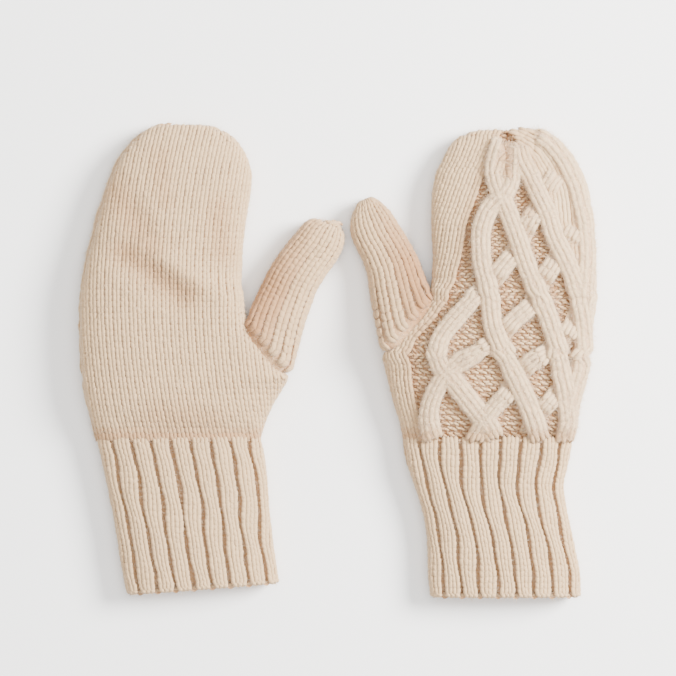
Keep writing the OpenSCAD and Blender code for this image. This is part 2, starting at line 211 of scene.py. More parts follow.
class Mitten:
    """Skins of one mitten: its hand, cuff and thumb, with the lines where its panels meet."""

    def __init__(self, name, thumb_side, folds, painted_shades):
        self.name, self.thumb_side, self.folds, self.painted_shades = name, thumb_side, folds, painted_shades
        self.back_up = thumb_side < 0
        joints = {joint["name"]: joint for joint in frame["record"]["behaviour"]["joints"]}
        self.knuckle, self.wrist, swing = (np.array(joints[name + end]["pos_m"]) / MM for end in
                                           ("_knuckle_fold", "_wrist_fold", "_thumb_swing"))
        self.crotch = swing[:2]
        thumb = cad_triangles(name + "_thumb").reshape(-1, 3)
        self.heel = thumb[thumb[:, 1].argmin()][:2]
        self.make_hand()
        self.make_cuff()
        self.make_thumb()

    def sided(self, angle):
        """Plain angle of a place counted from the palm's middle by the thumb side to the back."""
        return math.radians(270 if self.back_up else 90) - angle

    def t_of_y(self, value):
        return np.interp(value, self.y, np.arange(len(self.y)))

    def make_hand(self):
        name = self.name
        plain_nodes = (name + "_plain_hand", name + "_plain_fingers")
        cabled_nodes = (name + "_cabled_hand", name + "_cabled_fingers")
        whole = cad_triangles(*plain_nodes, *cabled_nodes)
        cabled = cad_triangles(*cabled_nodes)
        top = whole[:, :, 1].max()
        rows = []
        for y in np.arange(CUFF_TOP + 0.15, top - 0.1, 1.25):
            near, far, low, high = cut(whole, np.array([0, y]), 0) or rows[-1][1:5]
            part = cut(cabled, np.array([0, y]), 0)
            seam = rows[-1][5] if part is None else part[1] if self.thumb_side > 0 else part[0]
            rows.append([y, near, far, low, high, seam])
        rows = np.array(rows)
        rows[:, 1:] = smooth(rows[:, 1:], 1.3)
        rows[0, 0] = CUFF_TOP
        rows = rows[((rows[:, 2] - rows[:, 1] > 16) | (rows[:, 0] < 100)) & (rows[:, 0] < top - 1.7)]
        last = rows[-1]
        middle, level = (last[1] + last[2]) / 2, (last[3] + last[4]) / 2
        half, tall = (last[2] - last[1]) / 2, (last[4] - last[3]) / 2
        for out, part in ((0.8, 0.8), (1.3, 0.5), (1.5, 0.15)):
            ring = [last[0] + out, middle - part * half, middle + part * half,
                    level - part * tall, level + part * tall, middle + part * (last[5] - middle)]
            rows = np.append(rows, [ring], 0)
        climb = run_length(rows[:, 0], rows[:, 4])
        t = np.arange(0, climb[-1], 1.0)
        y, near, far, low, high, seam = resample(t, climb, *rows.T).T
        self.y = y
        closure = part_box(name + "_tip_closure")
        tip = (closure[0].x + closure[1].x) / 2 / MM
        line = np.polyfit([CUFF_TOP, self.knuckle[1], top], [self.wrist[0], self.knuckle[0], tip], 2)
        reference = np.polyval(line, y)
        turn = np.radians(np.arange(-200, 400, 1.5))
        angle = self.sided(turn)
        s_grid = np.arange(-95, 240, 1.0)
        hole_low, hole_high = self.heel[1], self.crotch[1]
        table, marks = [], []
        for k in range(len(t)):
            boxy = ease((y[k] - hole_low + 12) / 12) * ease((hole_high + 10 - y[k]) / 10)
            on_thumb = np.cos(angle) * self.thumb_side > 0
            slim = np.where(on_thumb, SLIM + (0.4 - SLIM) * boxy, SLIM)
            x, z = oval(angle, near[k], far[k], low[k], high[k], slim)
            arc = run_length(x, z)
            palm = np.abs(turn) < math.radians(89)
            back = np.abs(turn - math.pi) < math.radians(89)
            order = self.thumb_side
            arc -= np.interp(order * reference[k], order * x[palm], arc[palm])
            edges = np.interp(np.radians([-90, 90, 270]), turn, arc)
            seam_at = np.interp(-order * seam[k], -order * x[back], arc[back])
            middle_at = np.interp(-order * reference[k], -order * x[back], arc[back])
            marks.append([edges[0], edges[1], seam_at, middle_at, edges[2]])
            table.append(resample(s_grid, arc, x, np.full(len(x), y[k]), z))
        self.marks = smooth(np.array(marks), 2.0)
        self.hand = Skin(np.array(table), s_grid[0], 1.0)
        on_top = self.hand.up[..., 2:] > 0.0
        lifted = relief(self.hand.points, self.hand.up, self.folds)
        self.hand.points = np.where(on_top, lifted, self.hand.points)
        self.hand.settle()
        self.hand.close_over(np.array([0, 1, 0]))
        self.t_tip = t[-1]

    def mark(self, which, t):
        """Place round the hand, in s, of one of its lines."""
        return np.interp(t, np.arange(len(self.marks)), self.marks[:, LINES.index(which)])

    def line(self, which):
        return lambda t: self.mark(which, t)

    def make_cuff(self):
        name = self.name
        cuff = cad_triangles(name + "_cuff", name + "_cuff_edge")
        low_corner, high_corner = cuff.reshape(-1, 3).min(0), cuff.reshape(-1, 3).max(0)
        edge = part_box(name + "_cuff_edge")
        slant = (edge[1].y - edge[0].y) / MM - 3
        first, last = low_corner[1], CUFF_TOP
        width = high_corner[0] - low_corner[0]
        rows = []
        for f in np.linspace(0.004, 0.985, 60):
            origin = np.array([low_corner[0], first + f * (last - first)])
            angle = math.atan2(slant * (1 - f), width)
            near, far, low, high = cut(cuff, origin, angle)
            rows.append([f, near, far, low, high, angle])
        rows = np.array(rows)
        rows[:, 1:5] = smooth(rows[:, 1:5], 2.5)
        length = last - first
        t = np.arange(0, length + 0.5, 1.0)
        f = t / length
        near, far, low, high, angle = resample(f, *rows.T).T
        turn = np.radians(np.arange(-200, 580, 1.5))
        around = self.sided(turn)
        steps = np.arange(-2, RIBS + 2.01, RIB_STEP)
        valley = 4.2 if self.back_up else -4.4
        table = []
        for k in range(len(t)):
            run, z = oval(around, near[k], far[k], low[k], high[k], SLIM)
            arc = run_length(run, z)
            full = np.interp(math.pi * 2, turn, arc) - np.interp(0, turn, arc)
            start = np.interp(math.pi if self.back_up else 0.0, turn, arc)
            ribs = (arc - start - self.thumb_side * valley) / full * RIBS
            ribs += (RIBS / 2 if self.back_up else 0)
            x = low_corner[0] + run * math.cos(angle[k])
            y = first + f[k] * length + run * math.sin(angle[k])
            table.append(resample(steps, ribs, x, y, z))
        self.cuff = Skin(np.array(table), steps[0], RIB_STEP)
        plain = self.cuff.points.copy()
        waver = self.waver(steps[None, :], t[:, None])
        for k in range(len(t)):
            self.cuff.points[k] = resample(steps + waver[k], steps, *plain[k].T)
        self.cuff.settle()
        share = np.abs(steps - np.round(steps))[None, :]
        fade = (ease(t / 2) * (1 - 0.55 * ease((t - length + 4) / 4)))[:, None]
        lift = 0.7 * (1 - (1 - 2 * share) ** 2) - 3.1 * np.exp(-(share / 0.105) ** 2)
        self.cuff_flat = Skin(self.cuff.points.copy(), steps[0], RIB_STEP)
        self.cuff.points = self.cuff.points + self.cuff.up * (lift * fade)[..., None]
        self.cuff.settle()
        self.cuff_length = length

    def waver(self, s, t):
        """Sideways drift of the ribs, as a part of a rib."""
        shift = 1.7 if self.back_up else 0.4
        near = np.exp(-((t - 52) / 14) ** 2)
        side = np.sin(2 * math.pi * (s / RIBS) + shift)
        drift = 0.10 * side * near
        drift = drift + 0.035 * np.sin(t / 9.0 + 1.9 * s + shift) + 0.03 * np.sin(t / 4.3 + 2.7 * s)
        return drift * (ease(t / 6) * ease((88 - t) / 8))

    def make_thumb(self):
        name = self.name
        solid = cad_triangles(name + "_thumb")
        order = self.thumb_side
        start = (self.crotch + self.heel) / 2
        base_line = (self.heel - self.crotch) * order
        base_angle = math.atan2(base_line[1], base_line[0])
        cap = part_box(name + "_thumb_tip")
        tip = np.array([(cap[0].x + cap[1].x) / 2, (cap[0].y + cap[1].y) / 2]) / MM
        axis = tip - start
        length = np.linalg.norm(axis)
        far_angle = math.atan2(-axis[0], axis[1]) + (-0.02 if order > 0 else 0.02)
        rows = []
        for f in np.linspace(0.03, 1.05, 70):
            angle = base_angle + (far_angle - base_angle) * ease(f / 0.34)
            origin = start + axis * f
            found = cut(solid, origin, angle)
            if found is None:
                break
            rows.append([f, *found, angle, *origin])
        rows = np.array(rows)
        rows[:, 1:5] = smooth(rows[:, 1:5], 1.8)
        back = np.array([-math.sin(base_angle), math.cos(base_angle)])
        inside = []
        for d in np.arange(15, -0.1, -1.5):
            sunk, squeeze = 3.0 * ease(d / 12), 0.12 * d
            shrink = np.array([squeeze, -squeeze, sunk, -sunk])
            here = start + axis * 0.03 - back * d
            inside.append([0.03 - d / length, *(rows[0, 1:5] + shrink), base_angle, *here])
        end = rows[-1]
        centre, level = (end[1] + end[2]) / 2, (end[3] + end[4]) / 2
        close = []
        for d, part in ((1.2, 0.72), (2.0, 0.4), (2.4, 0.06)):
            half, tall = (end[2] - end[1]) / 2 * part, (end[4] - end[3]) / 2 * part
            section = (centre - half, centre + half, level - tall, level + tall)
            close.append([end[0] + d / length, *section, end[5], *(end[6:8] + axis / length * d)])
        rows = np.concatenate([inside[:-1], rows, close])
        t_rows = (rows[:, 0] - 0.03) * length
        self.thumb_start, self.thumb_end = t_rows[0], t_rows[-1]
        t = np.arange(self.thumb_start, self.thumb_end, 0.8)
        near, far, low, high, angle, ox, oy = resample(t, t_rows, *rows[:, 1:].T).T
        turn = np.radians(np.arange(-200, 580, 3.0))
        around = self.sided(turn)
        steps = np.arange(-1, THUMB_WALES + 1.01, THUMB_STEP)
        table = []
        for k in range(len(t)):
            slim = 0.5 + (0.8 - 0.5) * ease(t[k] / 16)
            run, z = oval(around, near[k], far[k], low[k], high[k], slim)
            arc = run_length(run, z)
            full = np.interp(math.pi * 2, turn, arc) - np.interp(0, turn, arc)
            wales = (arc - np.interp(0, turn, arc)) / full * THUMB_WALES
            x, y = ox[k] + run * math.cos(angle[k]), oy[k] + run * math.sin(angle[k])
            table.append(resample(steps, wales, x, y, z))
        self.thumb = Skin(np.array(table), steps[0], THUMB_STEP, self.thumb_start, 0.8)
        self.thumb_way = np.array([axis[0], axis[1], 0]) / length
        self.thumb.close_over(self.thumb_way)
        self.thumb_tip = tip
        self.thumb_back = back

    def past_base(self, points):
        """How far points lie past the thumb's base line, or a long way short of it for those beside it."""
        from_crotch = points[..., :2] - self.crotch
        base = self.heel - self.crotch
        along = from_crotch @ base / np.linalg.norm(base)
        return np.where(along > -2.5, from_crotch @ self.thumb_back, -99.0)


# ---------------------------------------------------------------- yarn and stitches

YARN_FLAT = 0.8  # height of a strand of yarn as a part of its width


def path_length(path):
    """Distance run from the first point of a path to each of its points."""
    return np.concatenate([[0], np.cumsum(np.linalg.norm(np.diff(path, axis=0), axis=1))])


def tube(path, radii, sides):
    """Closed tapering tube along a path: points, faces, and (along, around) places of its points."""
    path, radii = np.asarray(path, float), np.asarray(radii, float)
    way = np.gradient(path, axis=0)
    way /= np.linalg.norm(way, axis=1, keepdims=True)
    side = np.cross(way, [0, 0, 1])
    side /= np.maximum(np.linalg.norm(side, axis=1, keepdims=True), 1e-6)
    top = YARN_FLAT * np.cross(side, way)
    far = path_length(path)
    turn = 2 * math.pi * np.arange(sides) / sides
    cos, sin = np.cos(turn)[None, :, None], np.sin(turn)[None, :, None]
    round_way = side[1:-1, None] * cos + top[1:-1, None] * sin
    rings = path[1:-1, None] + radii[1:-1, None, None] * round_way
    points = np.concatenate([path[:1], rings.reshape(-1, 3), path[-1:]])
    round_places = np.stack(np.meshgrid(far[1:-1], turn / 2 / math.pi, indexing="ij"), -1).reshape(-1, 2)
    places = np.concatenate([[[far[0], 0.5]], round_places, [[far[-1], 0.5]]])
    count, last, faces = len(path) - 2, len(points) - 1, []
    for k in range(sides):
        n = (k + 1) % sides
        faces.append((0, 1 + k, 1 + n))
        faces.append((last, last - sides + n, last - sides + k))
        for r in range(count - 1):
            a = 1 + r * sides
            faces.append((a + k, a + sides + k, a + sides + n, a + n))
    return points, faces, places


def new_mesh(name, points, faces, places=None, attributes=None):
    """Mesh from points in millimetres, with its own named numbers on its points."""
    mesh = bpy.data.meshes.new(name)
    mesh.from_pydata((np.asarray(points) * MM).tolist(), [], [tuple(f) for f in faces])
    for key, values in (attributes or {}).items():
        values = np.asarray(values, np.float32)
        kind = "FLOAT" if values.ndim == 1 else "FLOAT_VECTOR"
        layer = mesh.attributes.new(key, kind, "POINT")
        layer.data.foreach_set("value" if kind == "FLOAT" else "vector", values.ravel())
    if places is not None:
        layer = mesh.uv_layers.new(name="yarn")
        corner = np.empty(len(mesh.loops), int)
        mesh.loops.foreach_get("vertex_index", corner)
        layer.data.foreach_set("uv", np.asarray(places, np.float32)[corner].ravel())
    mesh.polygons.foreach_set("use_smooth", [True] * len(mesh.polygons))
    mesh.update()
    return mesh


def pattern(name, strands, sides=6):
    """Stitch to be repeated, made of short tapering strands, each (path, radii)."""
    points, faces, places, count = [], [], [], 0
    for path, radii in strands:
        p, f, q = tube(path, radii, sides)
        points.append(p)
        places.append(q)
        faces += [tuple(i + count for i in face) for face in f]
        count += len(p)
    points, places = np.concatenate(points), np.concatenate(places)
    z = points[:, 2]
    height = (z - z.min()) / (z.max() - z.min())
    return bpy.data.objects.new(name, new_mesh(name, points, faces, places, {"height": height}))


def mirrored(strands):
    return strands + [([(-x, y, z) for x, y, z in path], radii) for path, radii in strands]


KNIT = pattern("knit_stitch", mirrored([(
    [(0.5, -3.3, -1.25), (0.78, -1.8, -0.55), (1.02, -0.1, -0.36), (1.18, 1.6, -0.5), (1.3, 3.1, -1.25)],
    [0.5, 1.16, 1.26, 1.2, 0.5])]))
SMOOTH_KNIT = pattern("long_knit_stitch", mirrored([(
    [(0.85, -4.2, -1.3), (1.0, -2.2, -0.5), (1.1, 0, -0.25), (1.2, 2.2, -0.45), (1.3, 4.2, -1.3)],
    [0.6, 1.22, 1.32, 1.22, 0.6])]))
PURL = pattern("purl_stitch", [
    ([(-2.1, -0.35, -1.9), (-1.3, 0.35, -0.85), (0, 0.7, -0.45), (1.3, 0.35, -0.85), (2.1, -0.35, -1.9)],
     [0.25, 0.72, 0.78, 0.72, 0.25]),
    ([(0.35, -0.6, -2.1), (1.0, -1.25, -1.1), (2.25, -1.5, -0.75), (3.5, -1.25, -1.1), (4.15, -0.6, -2.1)],
     [0.25, 0.62, 0.7, 0.62, 0.25])], 5)
DOT = pattern("valley_stitch", [
    ([(-1.5, -0.3, -1.6), (-0.7, 0.1, -0.7), (0, 0.25, -0.45), (0.7, 0.1, -0.7), (1.5, -0.3, -1.6)],
     [0.2, 0.6, 0.7, 0.6, 0.2])], 5)
EDGE = pattern("edge_stitch", [
    ([(-2.6, 0.1, -0.9), (-1.4, 0.35, 0.1), (0, 0.3, 0.35), (1.4, -0.1, 0.1), (2.6, -0.4, -0.9)],
     [0.35, 1.05, 1.2, 1.05, 0.35])])


def hair(name, length, lean, radius):
    """Loose hair of wool: a thin closed needle that leaves the surface at a slant."""
    turn = 2 * math.pi * np.arange(3) / 3
    foot = np.stack([np.zeros(3), radius * np.cos(turn), radius * np.sin(turn)], 1)
    points = np.concatenate([foot, [[length * math.sin(lean), 0, length * math.cos(lean)]]])
    faces = [(0, 1, 3), (1, 2, 3), (2, 0, 3), (2, 1, 0)]
    mesh = new_mesh(name, points, faces, np.zeros((4, 2)), {"height": np.ones(4)})
    return bpy.data.objects.new(name, mesh)


HAIR_SHAPE = hair("wool_hair", 3.1, 0.95, 0.09)


def places_mesh(name, position, _across, along, up, size, warm):
    """Points that carry the way a stitch lies there, its size, and the painted shade it gets."""
    up = up / np.maximum(np.linalg.norm(up, axis=1, keepdims=True), 1e-6)
    along = along / np.maximum(np.linalg.norm(along, axis=1, keepdims=True), 1e-6)
    mesh = new_mesh(name, position, [], None, {"up": up, "along": along, "size": size, "warm": warm})
    return bpy.data.objects.new(name, mesh)


def lay(skin, s_of, t, lift=0.0):
    """Where stitches lie on a skin: s_of(t) gives each stitch's s, t its place up the piece.

    The result is a group of stitches: their middles, ways across, ways along, ways up, and sizes."""
    s = s_of(t)
    middle = skin.point(s, t, lift)
    ahead, behind = skin.point(s_of(t + 1), t + 1, lift), skin.point(s_of(t - 1), t - 1, lift)
    left, right = skin.point(s - 0.25 * skin.s_step, t, lift), skin.point(s + 0.25 * skin.s_step, t, lift)
    along, across = ahead - behind, right - left
    up = np.cross(across, along)
    return [middle, across, along, up, np.ones((len(t), 3))]


def gather(*groups):
    return [np.concatenate(columns) for columns in zip(*groups)]


def keep_only(group, mask):
    return [column[mask] for column in group]


# ---------------------------------------------------------------- trees


class Tree:
    """Geometry Nodes tree with named inputs, built a node at a time."""

    def __init__(self, name, inputs):
        self.tree = bpy.data.node_groups.new(name, "GeometryNodeTree")
        self.ids = {}
        for key, kind, value in inputs:
            entry = self.tree.interface.new_socket(key, in_out="INPUT", socket_type=kind)
            if value is not None:
                entry.default_value = value
            self.ids[key] = entry.identifier
        self.tree.interface.new_socket("Geometry", in_out="OUTPUT", socket_type="NodeSocketGeometry")
        self.inputs = self.tree.nodes.new("NodeGroupInput").outputs
        self.out = self.tree.nodes.new("NodeGroupOutput")

    def node(self, kind, settings=None, **values):
        node = self.tree.nodes.new(kind)
        for key, value in (settings or {}).items():
            setattr(node, key, value)
        for key, value in values.items():
            name = key.replace("_", " ")
            socket = next(s for s in node.inputs if s.name == name and s.enabled)
            if isinstance(value, bpy.types.NodeSocket):
                self.tree.links.new(value, socket)
            else:
                socket.default_value = value
        return node

    def one(self, kind, settings=None, **values):
        """First live output of a new node."""
        return next(s for s in self.node(kind, settings, **values).outputs if s.enabled)

    def attribute(self, name, kind):
        return self.one("GeometryNodeInputNamedAttribute", {"data_type": kind}, Name=name)

    def random(self, low, high, seed, kind="FLOAT"):
        settings = {"data_type": kind}
        return self.one("FunctionNodeRandomValue", settings, Min=low, Max=high, Seed=seed)

    def shape_of(self, thing):
        settings = {"transform_space": "ORIGINAL"}
        return self.node("GeometryNodeObjectInfo", settings, Object=thing).outputs["Geometry"]

    def turned(self, rotation, angles):
        turn = self.one("FunctionNodeEulerToRotation", Euler=angles)
        settings = {"rotation_space": "LOCAL"}
        return self.one("FunctionNodeRotateRotation", settings, Rotation=rotation, Rotate_By=turn)

    def scaled(self, vector, factor):
        return self.one("ShaderNodeVectorMath", {"operation": "SCALE"}, Vector=vector, Scale=factor)

    def join(self, *parts):
        node = self.tree.nodes.new("GeometryNodeJoinGeometry")
        for part in parts:
            self.tree.links.new(part, node.inputs[0])
        return node.outputs[0]


def knitting_tree():
    """Lays one or two kinds of stitch and loose hairs on a wall of knitting."""
    t = Tree("knitting", [
        ("Wall", "NodeSocketGeometry", None), ("Stitch Places", "NodeSocketObject", None),
        ("Stitch", "NodeSocketObject", None), ("Second Places", "NodeSocketObject", None),
        ("Second Stitch", "NodeSocketObject", None), ("Hair", "NodeSocketObject", None),
        ("Hairs per Square Metre", "NodeSocketFloat", 700000.0), ("Turn", "NodeSocketFloat", 0.09),
        ("Size Change", "NodeSocketFloat", 0.07), ("Seed", "NodeSocketInt", 7),
        ("Wall Material", "NodeSocketMaterial", None), ("Stitch Material", "NodeSocketMaterial", None),
        ("Second Material", "NodeSocketMaterial", None), ("Hair Material", "NodeSocketMaterial", None)])
    given = t.inputs
    seed = given["Seed"]

    def math_node(operation, a, b):
        node = t.tree.nodes.new("ShaderNodeMath")
        node.operation = operation
        for socket, value in zip(node.inputs, (a, b)):
            if isinstance(value, bpy.types.NodeSocket):
                t.tree.links.new(value, socket)
            else:
                socket.default_value = value
        return node.outputs[0]

    def realized(laid, material):
        real = t.one("GeometryNodeRealizeInstances", Geometry=laid)
        return t.one("GeometryNodeSetMaterial", Geometry=real, Material=material)

    def stitches(places, stitch, material, extra):
        points = t.one("GeometryNodeMeshToPoints", Mesh=t.shape_of(places))
        shape = t.shape_of(stitch)
        lie = t.one("FunctionNodeAxesToRotation", {"primary_axis": "Z", "secondary_axis": "Y"},
                    Primary_Axis=t.attribute("up", "FLOAT_VECTOR"),
                    Secondary_Axis=t.attribute("along", "FLOAT_VECTOR"))
        tilt = t.random((-1, -1, -1), (1, 1, 1), math_node("ADD", seed, extra), "FLOAT_VECTOR")
        turned = t.turned(lie, t.scaled(tilt, given["Turn"]))
        change = t.random(-1.0, 1.0, math_node("ADD", seed, extra + 1))
        grow = math_node("ADD", 1.0, math_node("MULTIPLY", change, given["Size Change"]))
        size = t.scaled(t.attribute("size", "FLOAT_VECTOR"), grow)
        laid = t.one("GeometryNodeInstanceOnPoints", Points=points, Instance=shape, Rotation=turned,
                     Scale=size)
        shade = t.random(0.0, 1.0, math_node("ADD", seed, extra + 2))
        marked = t.one("GeometryNodeStoreNamedAttribute", {"data_type": "FLOAT", "domain": "INSTANCE"},
                       Geometry=laid, Name="shade", Value=shade)
        return realized(marked, material)

    wall = t.one("GeometryNodeSetMaterial", Geometry=given["Wall"], Material=given["Wall Material"])
    first = stitches(given["Stitch Places"], given["Stitch"], given["Stitch Material"], 10)
    second = stitches(given["Second Places"], given["Second Stitch"], given["Second Material"], 20)
    spread = t.node("GeometryNodeDistributePointsOnFaces", {"distribute_method": "RANDOM"},
                    Mesh=given["Wall"], Selection=t.attribute("outside", "BOOLEAN"),
                    Density=given["Hairs per Square Metre"], Seed=seed)
    lie = t.one("FunctionNodeAlignRotationToVector", {"axis": "Z"}, Vector=spread.outputs["Normal"])
    spin = t.random((-0.5, -0.5, -3.14), (0.5, 0.5, 3.14), math_node("ADD", seed, 31), "FLOAT_VECTOR")
    size = t.scaled((1.0, 1.0, 1.0), t.random(0.6, 1.5, math_node("ADD", seed, 32)))
    laid = t.one("GeometryNodeInstanceOnPoints", Points=spread.outputs["Points"],
                 Instance=t.shape_of(given["Hair"]), Rotation=t.turned(lie, spin), Scale=size)
    hairs = realized(laid, given["Hair Material"])
    t.tree.links.new(t.join(wall, first, second, hairs), t.out.inputs[0])
    return t


# ---------------------------------------------------------------- materials


class Value:
    """Output socket of a shader node, with arithmetic."""

    def __init__(self, shader, socket):
        self.shader, self.socket = shader, socket

    def _do(self, operation, a, b):
        node = self.shader.tree.nodes.new("ShaderNodeMath")
        node.operation = operation
        for socket, value in zip(node.inputs, (a, b)):
            self.shader.put(socket, value)
        return Value(self.shader, node.outputs[0])

    def __add__(self, other):
        return self._do("ADD", self, other)

    def __radd__(self, other):
        return self._do("ADD", other, self)

    def __sub__(self, other):
        return self._do("SUBTRACT", self, other)

    def __mul__(self, other):
        return self._do("MULTIPLY", self, other)

    def clip(self):
        node = self.shader.tree.nodes.new("ShaderNodeClamp")
        self.shader.put(node.inputs[0], self)
        return Value(self.shader, node.outputs[0])


class Finish:
    """Material under construction."""

    def __init__(self, name):
        self.material = bpy.data.materials.new(name)
        self.material.use_nodes = True
        self.tree = self.material.node_tree
        self.shader = self.tree.nodes["Principled BSDF"]

    def put(self, socket, value):
        if isinstance(value, Value):
            self.tree.links.new(value.socket, socket)
        else:
            socket.default_value = value

    def node(self, kind, settings=None, output=0, **values):
        node = self.tree.nodes.new(kind)
        for key, value in (settings or {}).items():
            if key == "stops":
                ramp = node.color_ramp
                while len(ramp.elements) < len(value):
                    ramp.elements.new(0.5)
                for element, (place, colour) in zip(ramp.elements, value):
                    element.position, element.color = place, (*colour, 1)
            else:
                setattr(node, key, value)
        for key, value in values.items():
            name = key.replace("_", " ")
            self.put(next(s for s in node.inputs if s.name == name and s.enabled), value)
        outputs = [s for s in node.outputs if s.enabled]
        return Value(self, outputs[output])

    def place(self):
        return self.node("ShaderNodeTexCoord", output=3)

    def attribute(self, name):
        return self.node("ShaderNodeAttribute", {"attribute_name": name}, output=2)

    def noise(self, place, scale, detail, roughness=0.5):
        return self.node("ShaderNodeTexNoise", Vector=place, Scale=scale, Detail=detail,
                         Roughness=roughness)

    def mix(self, factor, a, b, blend_type="MIX"):
        settings = {"data_type": "RGBA", "blend_type": blend_type}
        return self.node("ShaderNodeMix", settings, Factor=factor, A=a, B=b)

    def toned(self, colour, tone):
        grey = self.node("ShaderNodeCombineColor", Red=tone, Green=tone, Blue=tone)
        return self.mix(1.0, colour, grey, "MULTIPLY")

    def set(self, **values):
        for key, value in values.items():
            self.put(self.shader.inputs[key.replace("_", " ")], value)


def linear(*screen):
    """Linear colour of red, green and blue on a scale of 255."""
    return tuple(c / 255 / 12.92 if c <= 10 else ((c / 255 + 0.055) / 1.055) ** 2.4 for c in screen)


def wool(name, light, shaded_colour, mottle=0.06, streak=0.35):
    """Fluffy carded wool with painted shade: darker where the yarn dips between stitches and where a piece
    is marked with painted shade.
    """
    f = Finish(name)
    place = f.place()
    # painted shade: the low points of each strand take the shade colour
    base = f.node("ShaderNodeValToRGB", {"stops": [(0.0, shaded_colour), (0.62, light), (1.0, light)]},
                  Fac=f.attribute("height"))
    # painted shade: mix towards the shade colour where the piece is marked for it
    ramp = f.mix((f.attribute("warm") * 0.85).clip(), base, (*shaded_colour, 1.0))
    heather = f.noise(place, 620.0, 3.0, 0.7)
    patches = f.noise(place, 38.0, 2.0)
    tone = (1.0 - mottle) + (heather - 0.5) * (2.2 * mottle) + (patches - 0.5) * (1.2 * mottle)
    colour = f.toned(ramp, tone + f.attribute("shade") * mottle)
    yarn = f.node("ShaderNodeUVMap", {"uv_map": "yarn"})
    twist = f.node("ShaderNodeTexWave", {"bands_direction": "DIAGONAL"}, Vector=yarn, Scale=0.55,
                   Distortion=2.5, Detail=2.0, Detail_Scale=2.0, output=1)
    fuzz = f.noise(place, 2600.0, 2.0, 0.6)
    bump = f.node("ShaderNodeBump", Strength=streak, Distance=0.0004, Height=twist * 0.5 + fuzz * 0.9)
    f.set(Base_Color=colour, Roughness=0.84 + (heather - 0.5) * 0.12, Normal=bump, Specular_IOR_Level=0.18,
          Sheen_Weight=0.28, Sheen_Roughness=0.5, Sheen_Tint=(1.0, 0.95, 0.88, 1.0))
    return f.material


def felt(name, colour):
    """Matted wool of the inside and of the gaps between stitches, darker where a piece is marked with
    painted shade.
    """
    f = Finish(name)
    place = f.place()
    fine = f.noise(place, 900.0, 3.0, 0.65)
    lumps = f.noise(place, 210.0, 1.0)
    tone = 1.0 + (fine - 0.5) * (2 * FELT_MOTTLE) + (lumps - 0.5) * FELT_MOTTLE
    # painted shade colour for the marked places
    painted_dark = tuple(c * k for c, k in zip(colour, (0.72, 0.6, 0.52)))
    base = f.mix((f.attribute("warm") * 0.9).clip(), (*colour, 1.0), (*painted_dark, 1.0))
    bump = f.node("ShaderNodeBump", Strength=0.6, Distance=0.0008, Height=lumps * 0.7 + fine * 0.5)
    f.set(Base_Color=f.toned(base, tone), Roughness=0.92, Normal=bump, Specular_IOR_Level=0.12,
          Sheen_Weight=0.2, Sheen_Roughness=0.6)
    return f.material


FELT_MOTTLE = 0.12
# The second colour of each wool is painted shade, taken by the dips between stitches and by marked places.
CREAM = linear(196, 165, 126)
PALE = linear(206, 178, 140)
SHADE_TAN = linear(162, 118, 80)
PLAIN_WOOL = wool("plain_wool", CREAM, SHADE_TAN)
GROUND_WOOL = wool("purl_wool", linear(204, 171, 130), linear(166, 124, 84))
ROPE_WOOL = wool("rope_wool", PALE, linear(178, 138, 98), 0.05)
RIB_WOOL = wool("rib_wool", CREAM, linear(178, 138, 98))
JOIN_WOOL = wool("joining_wool", linear(202, 168, 130), linear(166, 124, 86))
# Most gap colours are darker than their yarn: painted shade in the gaps between stitches. The same walls
# make the inside.
UNDER_PLAIN = felt("plain_gaps", linear(190, 152, 112))
UNDER_ROPE = felt("rope_gaps", linear(204, 170, 132))
UNDER_GROUND = felt("purl_gaps", linear(164, 122, 84))
UNDER_RIB = felt("valley_gaps", linear(178, 138, 98))
HAIR = wool("loose_hair", linear(228, 203, 172), linear(200, 166, 128), 0.03, 0.0)

# ---------------------------------------------------------------- pieces

TREE = knitting_tree()
NOTHING = bpy.data.objects.new("no_stitches", bpy.data.meshes.new("no_stitches"))
MADE = []  # names of the pieces so far; their number gives the next seed


def wall(outer, inner, closed=False):
    """Closed wall between an outer and an inner grid of points: (points, faces, outside marks)."""
    rows, cols = outer.shape[:2]
    size = rows * cols
    points = np.concatenate([outer.reshape(-1, 3), inner.reshape(-1, 3)])
    faces, marks = [], []

    def at(j, i, side):
        return side * size + j * cols + i % cols

    def edge(j, i, next_j, next_i):
        faces.append((at(j, i, 0), at(j, i, 1), at(next_j, next_i, 1), at(next_j, next_i, 0)))
        marks.append(False)

    reach = cols if closed else cols - 1
    for j in range(rows - 1):
        for i in range(reach):
            faces.append((at(j, i, 0), at(j, i + 1, 0), at(j + 1, i + 1, 0), at(j + 1, i, 0)))
            faces.append((at(j, i, 1), at(j + 1, i, 1), at(j + 1, i + 1, 1), at(j, i + 1, 1)))
            marks += [True, False]
    for i in range(reach):
        edge(0, i, 0, i + 1)
        edge(rows - 1, i + 1, rows - 1, i)
    if not closed:
        for j in range(rows - 1):
            edge(j + 1, 0, j, 0)
            edge(j, cols - 1, j + 1, cols - 1)
    return points, faces, marks


# a piece without painted shade
def no_tone(points):
    return np.zeros(len(points))


PRESSED = 0.6  # height below which wool is pressed by the table


def rest_on_table(mesh):
    """Presses the wool that would sink into the table flat against it."""
    points = np.empty(len(mesh.vertices) * 3)
    mesh.vertices.foreach_get("co", points)
    points = points.reshape(-1, 3)
    under = np.maximum(PRESSED * MM - points[:, 2], 0)
    points[:, 2] = np.where(under > 0, PRESSED * MM - MM * np.tanh(under / MM), points[:, 2])
    mesh.vertices.foreach_set("co", points.ravel())


